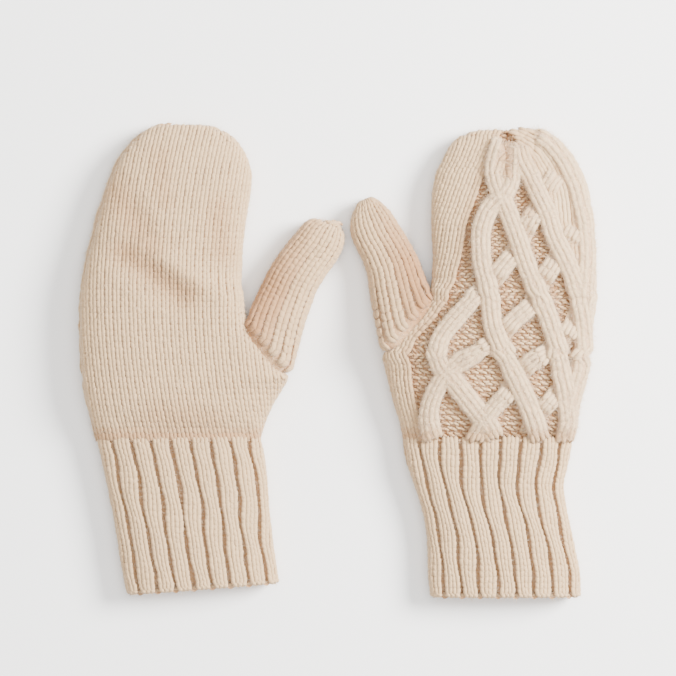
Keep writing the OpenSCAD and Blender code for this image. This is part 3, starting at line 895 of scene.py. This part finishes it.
def knitted(name, walls, stitches, stitch, under, yarn, second=None, second_stitch=None, second_yarn=None,
            hairs=700000.0, turn=0.09, tone=no_tone, second_tone=None):
    """One finished piece: its walls, stitches and loose hairs as one mesh; tone and second_tone give each
    place its painted shade.
    """
    stitches = keep_only(stitches, np.linalg.norm(stitches[3], axis=1) > 0.3)
    if second:
        second = keep_only(second, np.linalg.norm(second[3], axis=1) > 0.3)
    points, faces, marks, count = [], [], [], 0
    for p, f, m in walls:
        points.append(p)
        faces += [tuple(i + count for i in face) for face in f]
        marks += m
        count += len(p)
    if points:
        points = np.concatenate(points)
        # each wall point carries its amount of painted shade
        mesh = new_mesh(name, points, faces, None, {"warm": tone(points)})
        layer = mesh.attributes.new("outside", "BOOLEAN", "FACE")
        layer.data.foreach_set("value", marks)
    else:
        mesh = bpy.data.meshes.new(name)
    thing = bpy.data.objects.new(name, mesh)
    bpy.context.collection.objects.link(thing)
    places = places_mesh(name + "_places", *stitches, tone(stitches[0]))
    second_places = NOTHING
    if second:
        second_places = places_mesh(name + "_places_2", *second, (second_tone or tone)(second[0]))
    modifier = thing.modifiers.new("knitting", "NODES")
    modifier.node_group = TREE.tree
    given = {"Stitch Places": places, "Stitch": stitch, "Second Places": second_places,
             "Second Stitch": second_stitch or DOT, "Hair": HAIR_SHAPE, "Hairs per Square Metre": hairs,
             "Turn": turn, "Seed": 11 + 40 * len(MADE), "Wall Material": under, "Stitch Material": yarn,
             "Second Material": second_yarn or yarn, "Hair Material": HAIR}
    MADE.append(name)
    for key, value in given.items():
        modifier[TREE.ids[key]] = value
    graph = bpy.context.evaluated_depsgraph_get()
    graph.update()
    made = bpy.data.meshes.new_from_object(thing.evaluated_get(graph), depsgraph=graph)
    thing.modifiers.clear()
    thing.data = made
    made.name = name
    for index in reversed(range(len(made.materials))):
        if made.materials[index] is None:
            made.materials.pop(index=index)
    rest_on_table(made)
    made.polygons.foreach_set("use_smooth", [True] * len(made.polygons))
    made.update()
    return thing


def panel_wall(skin, first, last, t_values, out=-0.85):
    """Wall of knitting on a skin between two lines s = first(t) and s = last(t)."""
    widest = np.max(last(t_values) - first(t_values))
    cols = max(int(widest / 2.0), 4) + 1
    part = np.linspace(0, 1, cols)[None, :]
    s = first(t_values)[:, None] * (1 - part) + last(t_values)[:, None] * part
    t = np.repeat(t_values[:, None], cols, 1)
    return wall(skin.point(s, t, out), skin.point(s, t, -WALL))


def row_numbers(t_from, t_to):
    return np.arange(math.ceil(t_from / COURSE - 0.5), math.floor(t_to / COURSE - 0.5) + 1)


def lattice(first, last, start, t_from, t_to, margin):
    """Columns and heights of the stitches between two lines, counted from the line start(t)."""
    t_all, k_all = [], []
    for row in row_numbers(t_from, t_to):
        t = (row + 0.5) * COURSE
        low = (first(t) + margin[0] * WALE - start(t)) / WALE - 0.5
        high = (last(t) - margin[1] * WALE - start(t)) / WALE - 0.5
        k = np.arange(math.ceil(low), math.floor(high) + 1)
        k_all.append(k)
        t_all.append(np.full(len(k), t))
    return np.concatenate(k_all), np.concatenate(t_all)


def columns(mitten, first, last, start, t_from, t_to, margin):
    k, t = lattice(first, last, start, t_from, t_to, margin)
    return lay(mitten.hand, lambda v: start(v) + (k + 0.5) * WALE, t)


# Routes of the raised ropes on the back, as (x, y) from fingertips to cuff. The first cross over the second.
OVER_ROPES = [
    [(95.9, 122), (96.4, 108), (94.9, 96.5), (89.4, 88.5), (82.9, 83.5), (78.4, 71), (78.9, 54.5),
     (83.4, 36), (84.9, 19.5), (88.9, 8.5), (93.4, -1), (97.4, -9.5), (101.4, -17.5), (105.4, -26.5),
     (108.9, -35.5), (110.9, -43)],
    [(92.4, 123), (88.4, 115), (85.4, 104), (87.9, 94), (91.4, 86.5), (95.4, 76.5), (98.9, 66.5),
     (101.4, 58.5), (104.9, 48.5), (109.4, 38), (112.9, 30), (116.4, 21), (119.9, 10), (121.9, -2.5),
     (124.4, -15.5), (125.9, -25), (127.4, -42)],
    [(98.9, 122), (100.9, 110.5), (106.4, 99.5), (111.4, 88.5), (115.9, 79), (118.4, 69), (122.4, 60),
     (126.9, 51.5), (130.4, 41.5), (132.9, 32), (134.9, 16.5), (134.9, 0), (132.9, -16.5), (131.9, -33),
     (130.9, -44)],
    [(106.4, 125), (115.4, 120.5), (122.9, 112.5), (127.4, 104), (131.9, 94), (133.9, 83), (135.9, 71),
     (136.9, 58), (136.4, 46), (135.4, 35), (134.9, 24)],
]
UNDER_ROPES = [
    [(122.9, 105), (116.9, 97.5), (111.9, 86), (105.9, 77.5), (101.4, 68.5), (97.4, 58), (92.4, 53.5),
     (87.9, 47), (81.4, 40), (72.9, 32), (63.9, 22), (56.9, 13.5), (53.4, 4.5), (55.9, -3.5), (61.9, -10),
     (67.4, -16.5), (72.4, -23), (77.9, -30), (83.4, -36.5), (86.4, -43)],
    [(136.4, 79.5), (129.9, 72), (124.4, 61), (116.9, 51), (111.9, 43), (108.5, 33), (104.9, 28.5),
     (98.9, 24), (93.9, 19), (88.4, 12), (80.9, 6.5), (74.4, 3.5), (67.9, -0.5), (60.9, -6), (55.4, -13),
     (51.9, -21), (49.9, -28.5), (50.9, -37.5), (52.4, -44)],
    [(137.4, 35), (132.9, 26.5), (125.9, 14), (117.9, 6.5), (112.4, 3.5), (106.9, -0.5), (101.4, -5.5),
     (96.4, -13), (92.4, -19.5), (88.4, -23), (83.9, -28), (78.9, -35.5), (75.4, -44)],
    [(136.9, 5.5), (130.9, -6.5), (122.9, -16.5), (117.9, -21), (113.9, -25.5), (109.9, -31), (105.4, -40)],
]


ROPE_HALF = 5.9  # half the width of a rope
ROPE_COLUMN = 2.75  # distance of a rope's two columns of stitches from its middle


def rope_line(mitten, route):
    """A route on a mitten, as even steps of (distance from the back's middle line, t)."""
    route = np.asarray(route, float)
    far = path_length(route)
    line = smooth(resample(np.arange(0, far[-1], 1.0), far, *route.T), 3.0)
    if not mitten.back_up:
        lean = 7 * np.clip((line[:, 1] - 50) / 50, 0, 1)
        line = np.stack([-line[:, 0] + lean, line[:, 1]], 1)
    order = -mitten.thumb_side
    out = []
    for x, row in zip(line[:, 0], mitten.t_of_y(line[:, 1])):
        end = mitten.mark("end", row)
        s = np.arange(mitten.mark("thumb", row) + 1, end - 1, 0.5)
        places = mitten.hand.point(s, np.full(len(s), row))
        found = min(np.interp(order * x, order * places[:, 0], s), end - 7.6)
        out.append((found - mitten.mark("back", row), row))
    return smooth(np.array(out), 1.5)


def rope_lines(mitten):
    """Lines of a mitten's ropes, each with its height above the ground, which changes where ropes cross."""
    def gap(line, others):
        return np.min([np.linalg.norm(line[:, None] - other[None], axis=2).min(1) for other in others], 0)

    over, under = ([rope_line(mitten, route) for route in routes] for routes in (OVER_ROPES, UNDER_ROPES))
    tall = 3.9 if mitten.back_up else 2.7
    raised = [(line, tall + 0.9 * (1 - ease(gap(line, under) / 8))) for line in over]
    return raised + [(line, -0.6 + (tall + 0.4) * ease((gap(line, over) - 3.0) / 5.5)) for line in under]


def rope_profile(c):
    return np.maximum(1 - np.abs(c / ROPE_HALF) ** 2.6, 0) ** 0.6


def rope_parts(mitten, lines, t_from, t_to):
    """Cores of the ropes between two heights, and the places of the stitches that run along them."""
    walls, groups = [], []
    for line, height in lines:
        inside = (line[:, 1] >= t_from) & (line[:, 1] < min(t_to, mitten.t_tip - TIP_CLEAR))
        if inside.sum() < 4:
            continue
        count = len(line)
        numbers = np.arange(count)
        way = np.gradient(line, axis=0)
        way /= np.linalg.norm(way, axis=1, keepdims=True)
        side = np.stack([way[:, 1], -way[:, 0]], 1)
        at_wrist = line[-1, 1] < 5
        rows = np.arange(3, count - (0 if at_wrist else 3), 2)
        t_most = min(t_to + 2, mitten.t_tip - TIP_CLEAR)
        rows = rows[(line[rows, 1] > t_from - 2) & (line[rows, 1] < t_most)]

        def surface(index, c, drop=0.0):
            tall = np.interp(index, numbers, height)
            ends = ease((index - 1) / 7) * (1 if at_wrist else ease((count - index - 2) / 7))
            spot = resample(index, numbers, *line.T) + resample(index, numbers, *side.T) * c[..., None]
            s = spot[..., 0] + mitten.mark("back", spot[..., 1])
            return mitten.hand.point(s, spot[..., 1], tall * ends * rope_profile(c) - 0.3 + drop)

        c = np.linspace(-ROPE_HALF + 0.5, ROPE_HALF - 0.5, 9)
        grid_i, grid_c = np.meshgrid(rows.astype(float), c, indexing="ij")
        walls.append(wall(surface(grid_i, grid_c, 0.25), surface(grid_i, grid_c * 0.9, -3.2)))
        index = np.arange(4.4, count - (1.0 if at_wrist else 4.4), COURSE * 1.3)
        index = index[np.interp(index, numbers, inside.astype(float)) > 0.5]
        if not len(index):
            continue
        ends = 0.6 + 0.4 * ease((index + 1) / 6) * (1 if at_wrist else ease((count - index) / 6))
        size = np.stack([1.14 * ends, np.full(len(index), 1.1), np.ones(len(index))], 1)
        spot = resample(index, numbers, *line.T)
        facing = mitten.hand.read(mitten.hand.up, spot[:, 0] + mitten.mark("back", spot[:, 1]), spot[:, 1])
        for centre in (-ROPE_COLUMN, ROPE_COLUMN):
            middle = np.full(len(index), centre)
            along = surface(index + 1, middle) - surface(index - 1, middle)
            across = surface(index, middle + 0.5) - surface(index, middle - 0.5)
            up = np.cross(across, along)
            flip = np.sign(np.sum(up * facing, 1))[:, None]
            groups.append([surface(index, middle), across * flip, along, up * flip, size])
    return walls, gather(*groups)


def finish_piece(thing, nodes, slot, bodies, start=None, end=None):
    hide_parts(*nodes)
    if len(bodies) == 1:
        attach(thing, bodies[0])
    else:
        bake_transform(thing)


WRIST_BEND = (-0.062, -0.034)  # y in metres of two lines across the wrist
KNUCKLE_BEND = (0.024, 0.064)
THUMB_BEND = 20  # length in millimetres of a line from the thumb's base
FAR_SIDE = 40  # columns from a panel's edge to where its counting starts, beyond its other edge


def make_mitten(mitten):
    name = mitten.name
    body = {part: name + "_" + part for part in ("hand", "fingers", "thumb", "cuff")}
    split = mitten.t_of_y(0.0)
    tip = mitten.t_tip
    pinky, thumb, cable, back, end = (mitten.line(which) for which in LINES)
    lines = rope_lines(mitten)
    outer_rope = lines[2][0]
    order = np.argsort(outer_rope[:, 1])

    def smooth_edge(t):
        return back(t) + np.interp(t, outer_rope[order, 1], outer_rope[order, 0]) + 3.0

    low_cut = [(mitten.wrist[0] * MM, y, 0.012) for y in WRIST_BEND]
    high_cut = [(mitten.knuckle[0] * MM, y, 0.013) for y in KNUCKLE_BEND]
    rope_points = np.concatenate([mitten.hand.point(line[:, 0] + back(line[:, 1]), line[:, 1])
                                  for line, _ in lines])
    t_edge = np.arange(0, tip, 1.0)
    edge_points = mitten.hand.point(cable(t_edge), t_edge)

    # Painted shade: a band just above the ribs at the wrist, and the mitten's spots of painted shade on
    # places higher than 12 mm.
    def paint_shade(points):
        points = np.asarray(points)
        amount = 0.75 * np.exp(-((points[:, 1] + 41.5) / 3.0) ** 2)
        for *ends, width, depth in mitten.painted_shades:
            bell = np.exp(-(away_from(points, *ends) / width) ** 2)
            amount = np.maximum(amount, depth * bell * (points[:, 2] > 12))
        return amount

    def near(points, line, reach):
        gaps = [np.min(np.linalg.norm(part[:, None] - line[None], axis=2), 1) for part in
                np.array_split(np.asarray(points), max(len(points) // 500, 1))]
        return np.exp(-(np.maximum(np.concatenate(gaps) - reach[0], 0) / reach[1]) ** 2)

    # Painted shade next to the ropes and along the edge of the cable panel.
    def paint_ground_shade(points):
        return np.maximum.reduce([paint_shade(points), 0.95 * near(points, rope_points, (5.2, 1.8)),
                                  0.9 * near(points, edge_points, (1.0, 2.0))])

    # Weaker painted shade next to the ropes.
    def paint_far_shade(points):
        return np.maximum(paint_shade(points), 0.55 * near(points, rope_points, (4.6, 1.0)))

    # Painted shade along the edge of the cable panel.
    def paint_plain_shade(points):
        return np.maximum(paint_shade(points), 0.9 * near(points, edge_points, (0.6, 1.4)))

    def not_past(group):
        return keep_only(group, mitten.past_base(group[0]) < 1.0)

    for half, label, t_from, t_to, t_stop, joined, cut_at in (
            ("_hand", "_lower", 0.0, split, split, (body["cuff"], body["hand"]), low_cut),
            ("_fingers", "_upper", split, tip, tip - TIP_CLEAR, (body["hand"], body["fingers"]), high_cut)):
        t_values = np.append(np.arange(t_from, t_to, 1.5), t_to)
        plain = panel_wall(mitten.hand, pinky, cable, t_values)
        rows = (row_numbers(t_from, t_stop) + 0.5) * COURSE
        seam = gather(lay(mitten.hand, pinky, rows), not_past(lay(mitten.hand, thumb, rows)))
        palm = not_past(columns(mitten, pinky, thumb, np.zeros_like, t_from, t_stop, (0.3, 0.3)))
        strip = not_past(columns(mitten, thumb, cable, lambda t: cable(t) - FAR_SIDE * WALE,
                                 t_from, t_stop, (0.1, 0.5)))
        piece = knitted(name + "_plain" + label, [plain], gather(palm, strip, seam), KNIT, UNDER_PLAIN,
                        PLAIN_WOOL, tone=paint_plain_shade)
        finish_piece(piece, [name + "_plain" + half], "plain_knit", joined, *cut_at)
        ground = panel_wall(mitten.hand, cable, end, t_values, out=-2.0)
        k, t = lattice(cable, end, back, t_from, t_stop, (-0.25, 0.1))
        purl = lay(mitten.hand, lambda v: back(v) + (k + 0.5) * WALE, t, -0.2)
        purl = keep_only(purl, back(t) + (k + 0.5) * WALE <= smooth_edge(t))
        from_end, t_end = lattice(smooth_edge, end, lambda v: end(v) - FAR_SIDE * WALE, t_from, t_stop,
                                  (-0.6, 0.5))
        flat = lay(mitten.hand, lambda v: end(v) + (from_end - FAR_SIDE + 0.05) * WALE, t_end, 1.2)
        piece = knitted(name + "_ground" + label, [ground], purl, PURL, UNDER_GROUND, GROUND_WOOL,
                        flat, SMOOTH_KNIT, ROPE_WOOL, turn=0.12, tone=paint_ground_shade, second_tone=paint_far_shade)
        finish_piece(piece, [name + "_cabled" + half], "purl_ground", joined, *cut_at)
        cores, along = rope_parts(mitten, lines, t_from, t_to)
        piece = knitted(name + "_ropes" + label, cores, along, SMOOTH_KNIT, UNDER_ROPE, ROPE_WOOL,
                        hairs=1500000.0, turn=0.07, tone=paint_shade)
        finish_piece(piece, [name + "_ropes" + half], "cable_rope", joined, *cut_at)

    make_cuff_pieces(mitten, body, low_cut)
    make_thumb_pieces(mitten, body)
    make_tip(mitten, body)


def make_cuff_pieces(mitten, body, low_cut):
    name = mitten.name
    skin, length = mitten.cuff, mitten.cuff_length
    steps = np.arange(0, RIBS, RIB_STEP)

    def tube_wall(t_values):
        s, t = np.meshgrid(steps, t_values)
        depth = np.interp(t, [0, 2, 6, length], [-3.6, -4.6, -4.8, -4.6])
        return wall(skin.point(s, t, TUBE_SINK), mitten.cuff_flat.point(s, t, depth), closed=True)

    rows = np.arange(3.6, length, COURSE)
    k, t = (v.ravel() for v in np.meshgrid(np.arange(RIBS), rows))
    ribs = []
    for off in (-0.2, 0.2):
        s = k + 0.5 + off
        pitch = np.linalg.norm(skin.point(s + 0.2, t) - skin.point(s - 0.2, t), axis=1)
        group = lay(skin, lambda v, s=s: s, t)
        group[4][:, 0] = np.clip(pitch / WALE * 1.02, 0.5, 1.3)
        ribs.append(group)
    valleys = lay(skin, lambda v: k + 0.0, t, 0.8)
    tube = tube_wall(np.append(np.arange(3.0, length, 1.5), length))
    piece = knitted(name + "_cuff_ribs", [tube], gather(*ribs), KNIT, UNDER_RIB, RIB_WOOL,
                    valleys, DOT, JOIN_WOOL)
    finish_piece(piece, [name + "_cuff"], "ribbing", (body["cuff"], body["hand"]), *low_cut)
    around = np.arange(0, RIBS, 1 / 4)
    chains = []
    for shift, height, lift in ((0.0, 1.3, -0.4), (0.12, 0.2, -1.6)):
        group = lay(skin, lambda v: around + shift, np.full(len(around), height), lift)
        group[4][:, 0] = 0.68
        chains.append(group)
    piece = knitted(name + "_cast_on", [tube_wall(np.array([0.0, 0.6, 1.8, 3.0]))], gather(*chains), EDGE,
                    UNDER_RIB, RIB_WOOL, turn=0.2)
    finish_piece(piece, [name + "_cuff_edge"], "joining_yarn", (body["cuff"],))


def make_thumb_pieces(mitten, body):
    name, skin = mitten.name, mitten.thumb
    base = (mitten.crotch + mitten.heel) / 2
    t_end = mitten.thumb_end
    s, t = np.meshgrid(np.arange(0, THUMB_WALES, 1 / 3),
                       np.append(np.arange(mitten.thumb_start + 0.5, t_end - 1.5, 1.5), t_end - 0.3))
    shell = wall(skin.point(s, t, TUBE_SINK), skin.point(s, t, -3.0), closed=True)
    k, t = (v.ravel() for v in np.meshgrid(np.arange(THUMB_WALES), np.arange(-4.8, t_end - 1.2, COURSE)))
    group = lay(skin, lambda v: k + 0.5, t)
    pitch = np.linalg.norm(skin.point(k + 1.0, t) - skin.point(k + 0.0, t), axis=1)
    group[4][:, 0] = np.clip(pitch / WALE, 0.25, 1.35)
    group = keep_only(group, (group[0][:, :2] - mitten.crotch) @ mitten.thumb_back > -1.6)
    axis = mitten.thumb_tip - base
    axis /= np.linalg.norm(axis)
    inward = np.array([-axis[1], axis[0]]) * mitten.thumb_side

    # Painted shade across the thumb, darkest on its side towards the hand and fading towards the tip.
    def paint_shade(points):
        off = np.asarray(points)[:, :2] - base
        return (0.15 + 0.95 * ease((off @ inward + 5) / 15)) * (1.0 - 0.55 * ease((off @ axis - 22) / 50))

    piece = knitted(name + "_thumb_knit", [shell], group, KNIT, UNDER_PLAIN, PLAIN_WOOL, tone=paint_shade)
    foot = base * MM
    line = mitten.thumb_back * THUMB_BEND * MM
    finish_piece(piece, [name + "_thumb"], "plain_knit", (body["hand"], body["thumb"]),
                 (foot[0], foot[1], 0.013), (foot[0] + line[0], foot[1] + line[1], 0.013))

    around = np.arange(0, THUMB_WALES, 2.0) + 0.5
    ring = lay(skin, lambda v: around, np.full(len(around), t_end - 2.2), -0.2)
    ring[4][:, 0], ring[4][:, 1] = 0.55, 1.2
    crown = skin.point(np.arange(0, THUMB_WALES), np.full(THUMB_WALES, t_end - 0.4)).mean(0)
    side = np.array([-mitten.thumb_way[1], mitten.thumb_way[0], 0])
    spots = crown - 0.9 * mitten.thumb_way + np.array([-2.2, 0.0, 2.2])[:, None] * side
    up, size = [0.0, 0.0, 1.0], [0.5, 0.7, 0.7]
    knot = [spots, *(np.repeat([row], 3, 0) for row in (side, up, mitten.thumb_way, size))]
    piece = knitted(name + "_thumb_end", [], gather(ring, knot), KNIT, UNDER_PLAIN, JOIN_WOOL, turn=0.15)
    finish_piece(piece, [name + "_thumb_tip"], "joining_yarn", (body["thumb"],))

    part = np.linspace(0.06, 0.94, 11)[:, None]
    flat = mitten.crotch + part * (mitten.heel - mitten.crotch) - 1.2 * mitten.thumb_back
    t = mitten.t_of_y(flat[:, 1])
    upper = []
    first, last = ("thumb", "end") if mitten.back_up else ("pinky", "thumb")
    for x, row in zip(flat[:, 0], t):
        s = np.arange(mitten.mark(first, row) + 0.5, mitten.mark(last, row) - 0.5, 0.5)
        places = mitten.hand.point(s, np.full(len(s), row))
        order = 1 if places[-1, 0] > places[0, 0] else -1
        upper.append(np.interp(order * x, order * places[:, 0], s))
    s = np.array(upper)
    group = lay(mitten.hand, lambda v: s, t, -0.1)
    group[2] = np.cross(group[3], np.gradient(group[0], axis=0))
    group[4][:] = (0.85, 0.8, 0.9)
    piece = knitted(name + "_picked_up_row", [], group, EDGE, UNDER_PLAIN, JOIN_WOOL, turn=0.2)
    finish_piece(piece, [name + "_thumb_seam"], "joining_yarn", (body["hand"],))


def make_tip(mitten, body):
    name = mitten.name
    skin = mitten.hand.points
    half = (skin[-6, :, 0].max() - skin[-6, :, 0].min()) / 2 + 1
    count = int(2 * half / 2.6)
    x = np.linspace(-half, half, count)
    y = skin[-1, 0, 1] - 0.9 - (skin[-1, 0, 1] - skin[-6, 0, 1]) * (x / half) ** 2
    middle, level = (skin[-6, :, k].max() / 2 + skin[-6, :, k].min() / 2 for k in (0, 2))
    position = np.stack([middle + x, y, np.full(count, level)], 1)
    along = np.repeat([[0.0, 0.0, 1.0]], count, 0)
    up = np.stack([0.05 * x, np.ones(count), np.zeros(count)], 1)
    across = np.repeat([[1.0, 0.0, 0.0]], count, 0)
    tall = (skin[-6, :, 2].max() - skin[-6, :, 2].min()) / 6.4 * np.sqrt(1 - 0.75 * (x / half) ** 2)
    size = np.stack([np.full(count, 0.66), tall, np.full(count, 0.8)], 1)
    row = [position, across, along, up, size]
    piece = knitted(name + "_closing_row", [], row, KNIT, UNDER_PLAIN, PLAIN_WOOL)
    finish_piece(piece, [name + "_tip_closure"], "joining_yarn", (body["fingers"],))


# Folds are x and y of one end, x and y of the other, width and height. Shades are spots of painted shade and
# end with its strength.
PALM_FOLDS = [
    (-106, 62, -62, 33, 7, 2.4),
    (-118, 55, -90, 36, 9, -2.2),
    (-112, 80, -104, 62, 8, -1.7),
    (-120, 47, -112, 44, 7, 0.8),
    (-70, 62, -62, 50, 9, -0.8),
    (-118, -38, -52, -40, 5, -1.3),
]
PALM_PAINTED_SHADES = [
    (-118, 60, -84, 36, 8, 0.6),
    (-122, 92, -104, 62, 10, 0.5),
    (-98, 112, -96, 88, 6, 0.35),
    (-66, 84, -64, 60, 7, 0.45),
    (-100, -30, -70, -34, 9, 0.35),
]
BACK_FOLDS = [
    (58, -40, 122, -41, 4, -1.2),
    (92.5, 123, 92.5, 105, 1.6, -4.0),
]
BACK_PAINTED_SHADES = [
    (93.2, 124, 92.4, 104, 3.0, 1.0),
    (104, 118, 110, 108, 5, 0.5),
    (103, 96, 104, 82, 3, 0.7),
]
palm_up = Mitten("palm_up", 1, PALM_FOLDS, PALM_PAINTED_SHADES)
back_up = Mitten("back_up", -1, BACK_FOLDS, BACK_PAINTED_SHADES)
make_mitten(palm_up)
make_mitten(back_up)

# ---------------------------------------------------------------- floor, lights and camera


def floor():
    f = Finish("pale_table")
    grain = f.noise(f.place(), 60.0, 3.0)
    f.set(Base_Color=(0.95, 0.95, 0.945, 1), Roughness=0.75 + (grain - 0.5) * 0.06, Specular_IOR_Level=0.2)
    mesh = bpy.data.meshes.new("table")
    corners = [(x * TABLE_HALF, y * TABLE_HALF, TABLE_TOP) for x, y in ((-1, -1), (1, -1), (1, 1), (-1, 1))]
    mesh.from_pydata(corners, [], [(0, 1, 2, 3)])
    mesh.materials.append(f.material)
    thing = bpy.data.objects.new("table", mesh)
    bpy.context.collection.objects.link(thing)


def softbox(name, place, size, power_watts, colour):
    light = bpy.data.lights.new(name, "AREA")
    light.shape, light.size, light.energy, light.color = "DISK", size, power_watts, colour
    thing = bpy.data.objects.new(name, light)
    thing.location = place
    way = np.array(LIT_POINT) - np.array(place)
    thing.rotation_euler = (math.atan2(math.hypot(way[0], way[1]), -way[2]), 0, math.atan2(-way[0], way[1]))
    bpy.context.collection.objects.link(thing)


# In metres.
TABLE_HALF = 3.0
TABLE_TOP = -0.0006
LIT_POINT = (0, 0, 0.01)
floor()
softbox("window", (1.25, 0.45, 1.05), 0.8, 125.0, (1.0, 0.985, 0.96))
softbox("overhead", (0.1, 0.1, 2.1), 1.6, 46.0, (1.0, 0.99, 0.98))
world = bpy.data.worlds.new("studio")
world.use_nodes = True
world.node_tree.nodes["Background"].inputs[0].default_value = (1.0, 0.99, 0.98, 1)
world.node_tree.nodes["Background"].inputs[1].default_value = 0.95
bpy.context.scene.world = world

CAMERA_HEIGHT = 2.2
VIEW_WIDTH = 0.374  # width of the view at the mittens' middle height
MIDDLE_HEIGHT = 0.014
SENSOR_MM = 36.0
lens = bpy.data.cameras.new("camera")
lens.sensor_width = SENSOR_MM
lens.lens = SENSOR_MM * (CAMERA_HEIGHT - MIDDLE_HEIGHT) / VIEW_WIDTH
camera = bpy.data.objects.new("camera", lens)
camera.location = (0, 0.012, CAMERA_HEIGHT)
bpy.context.collection.objects.link(camera)
bpy.context.scene.camera = camera
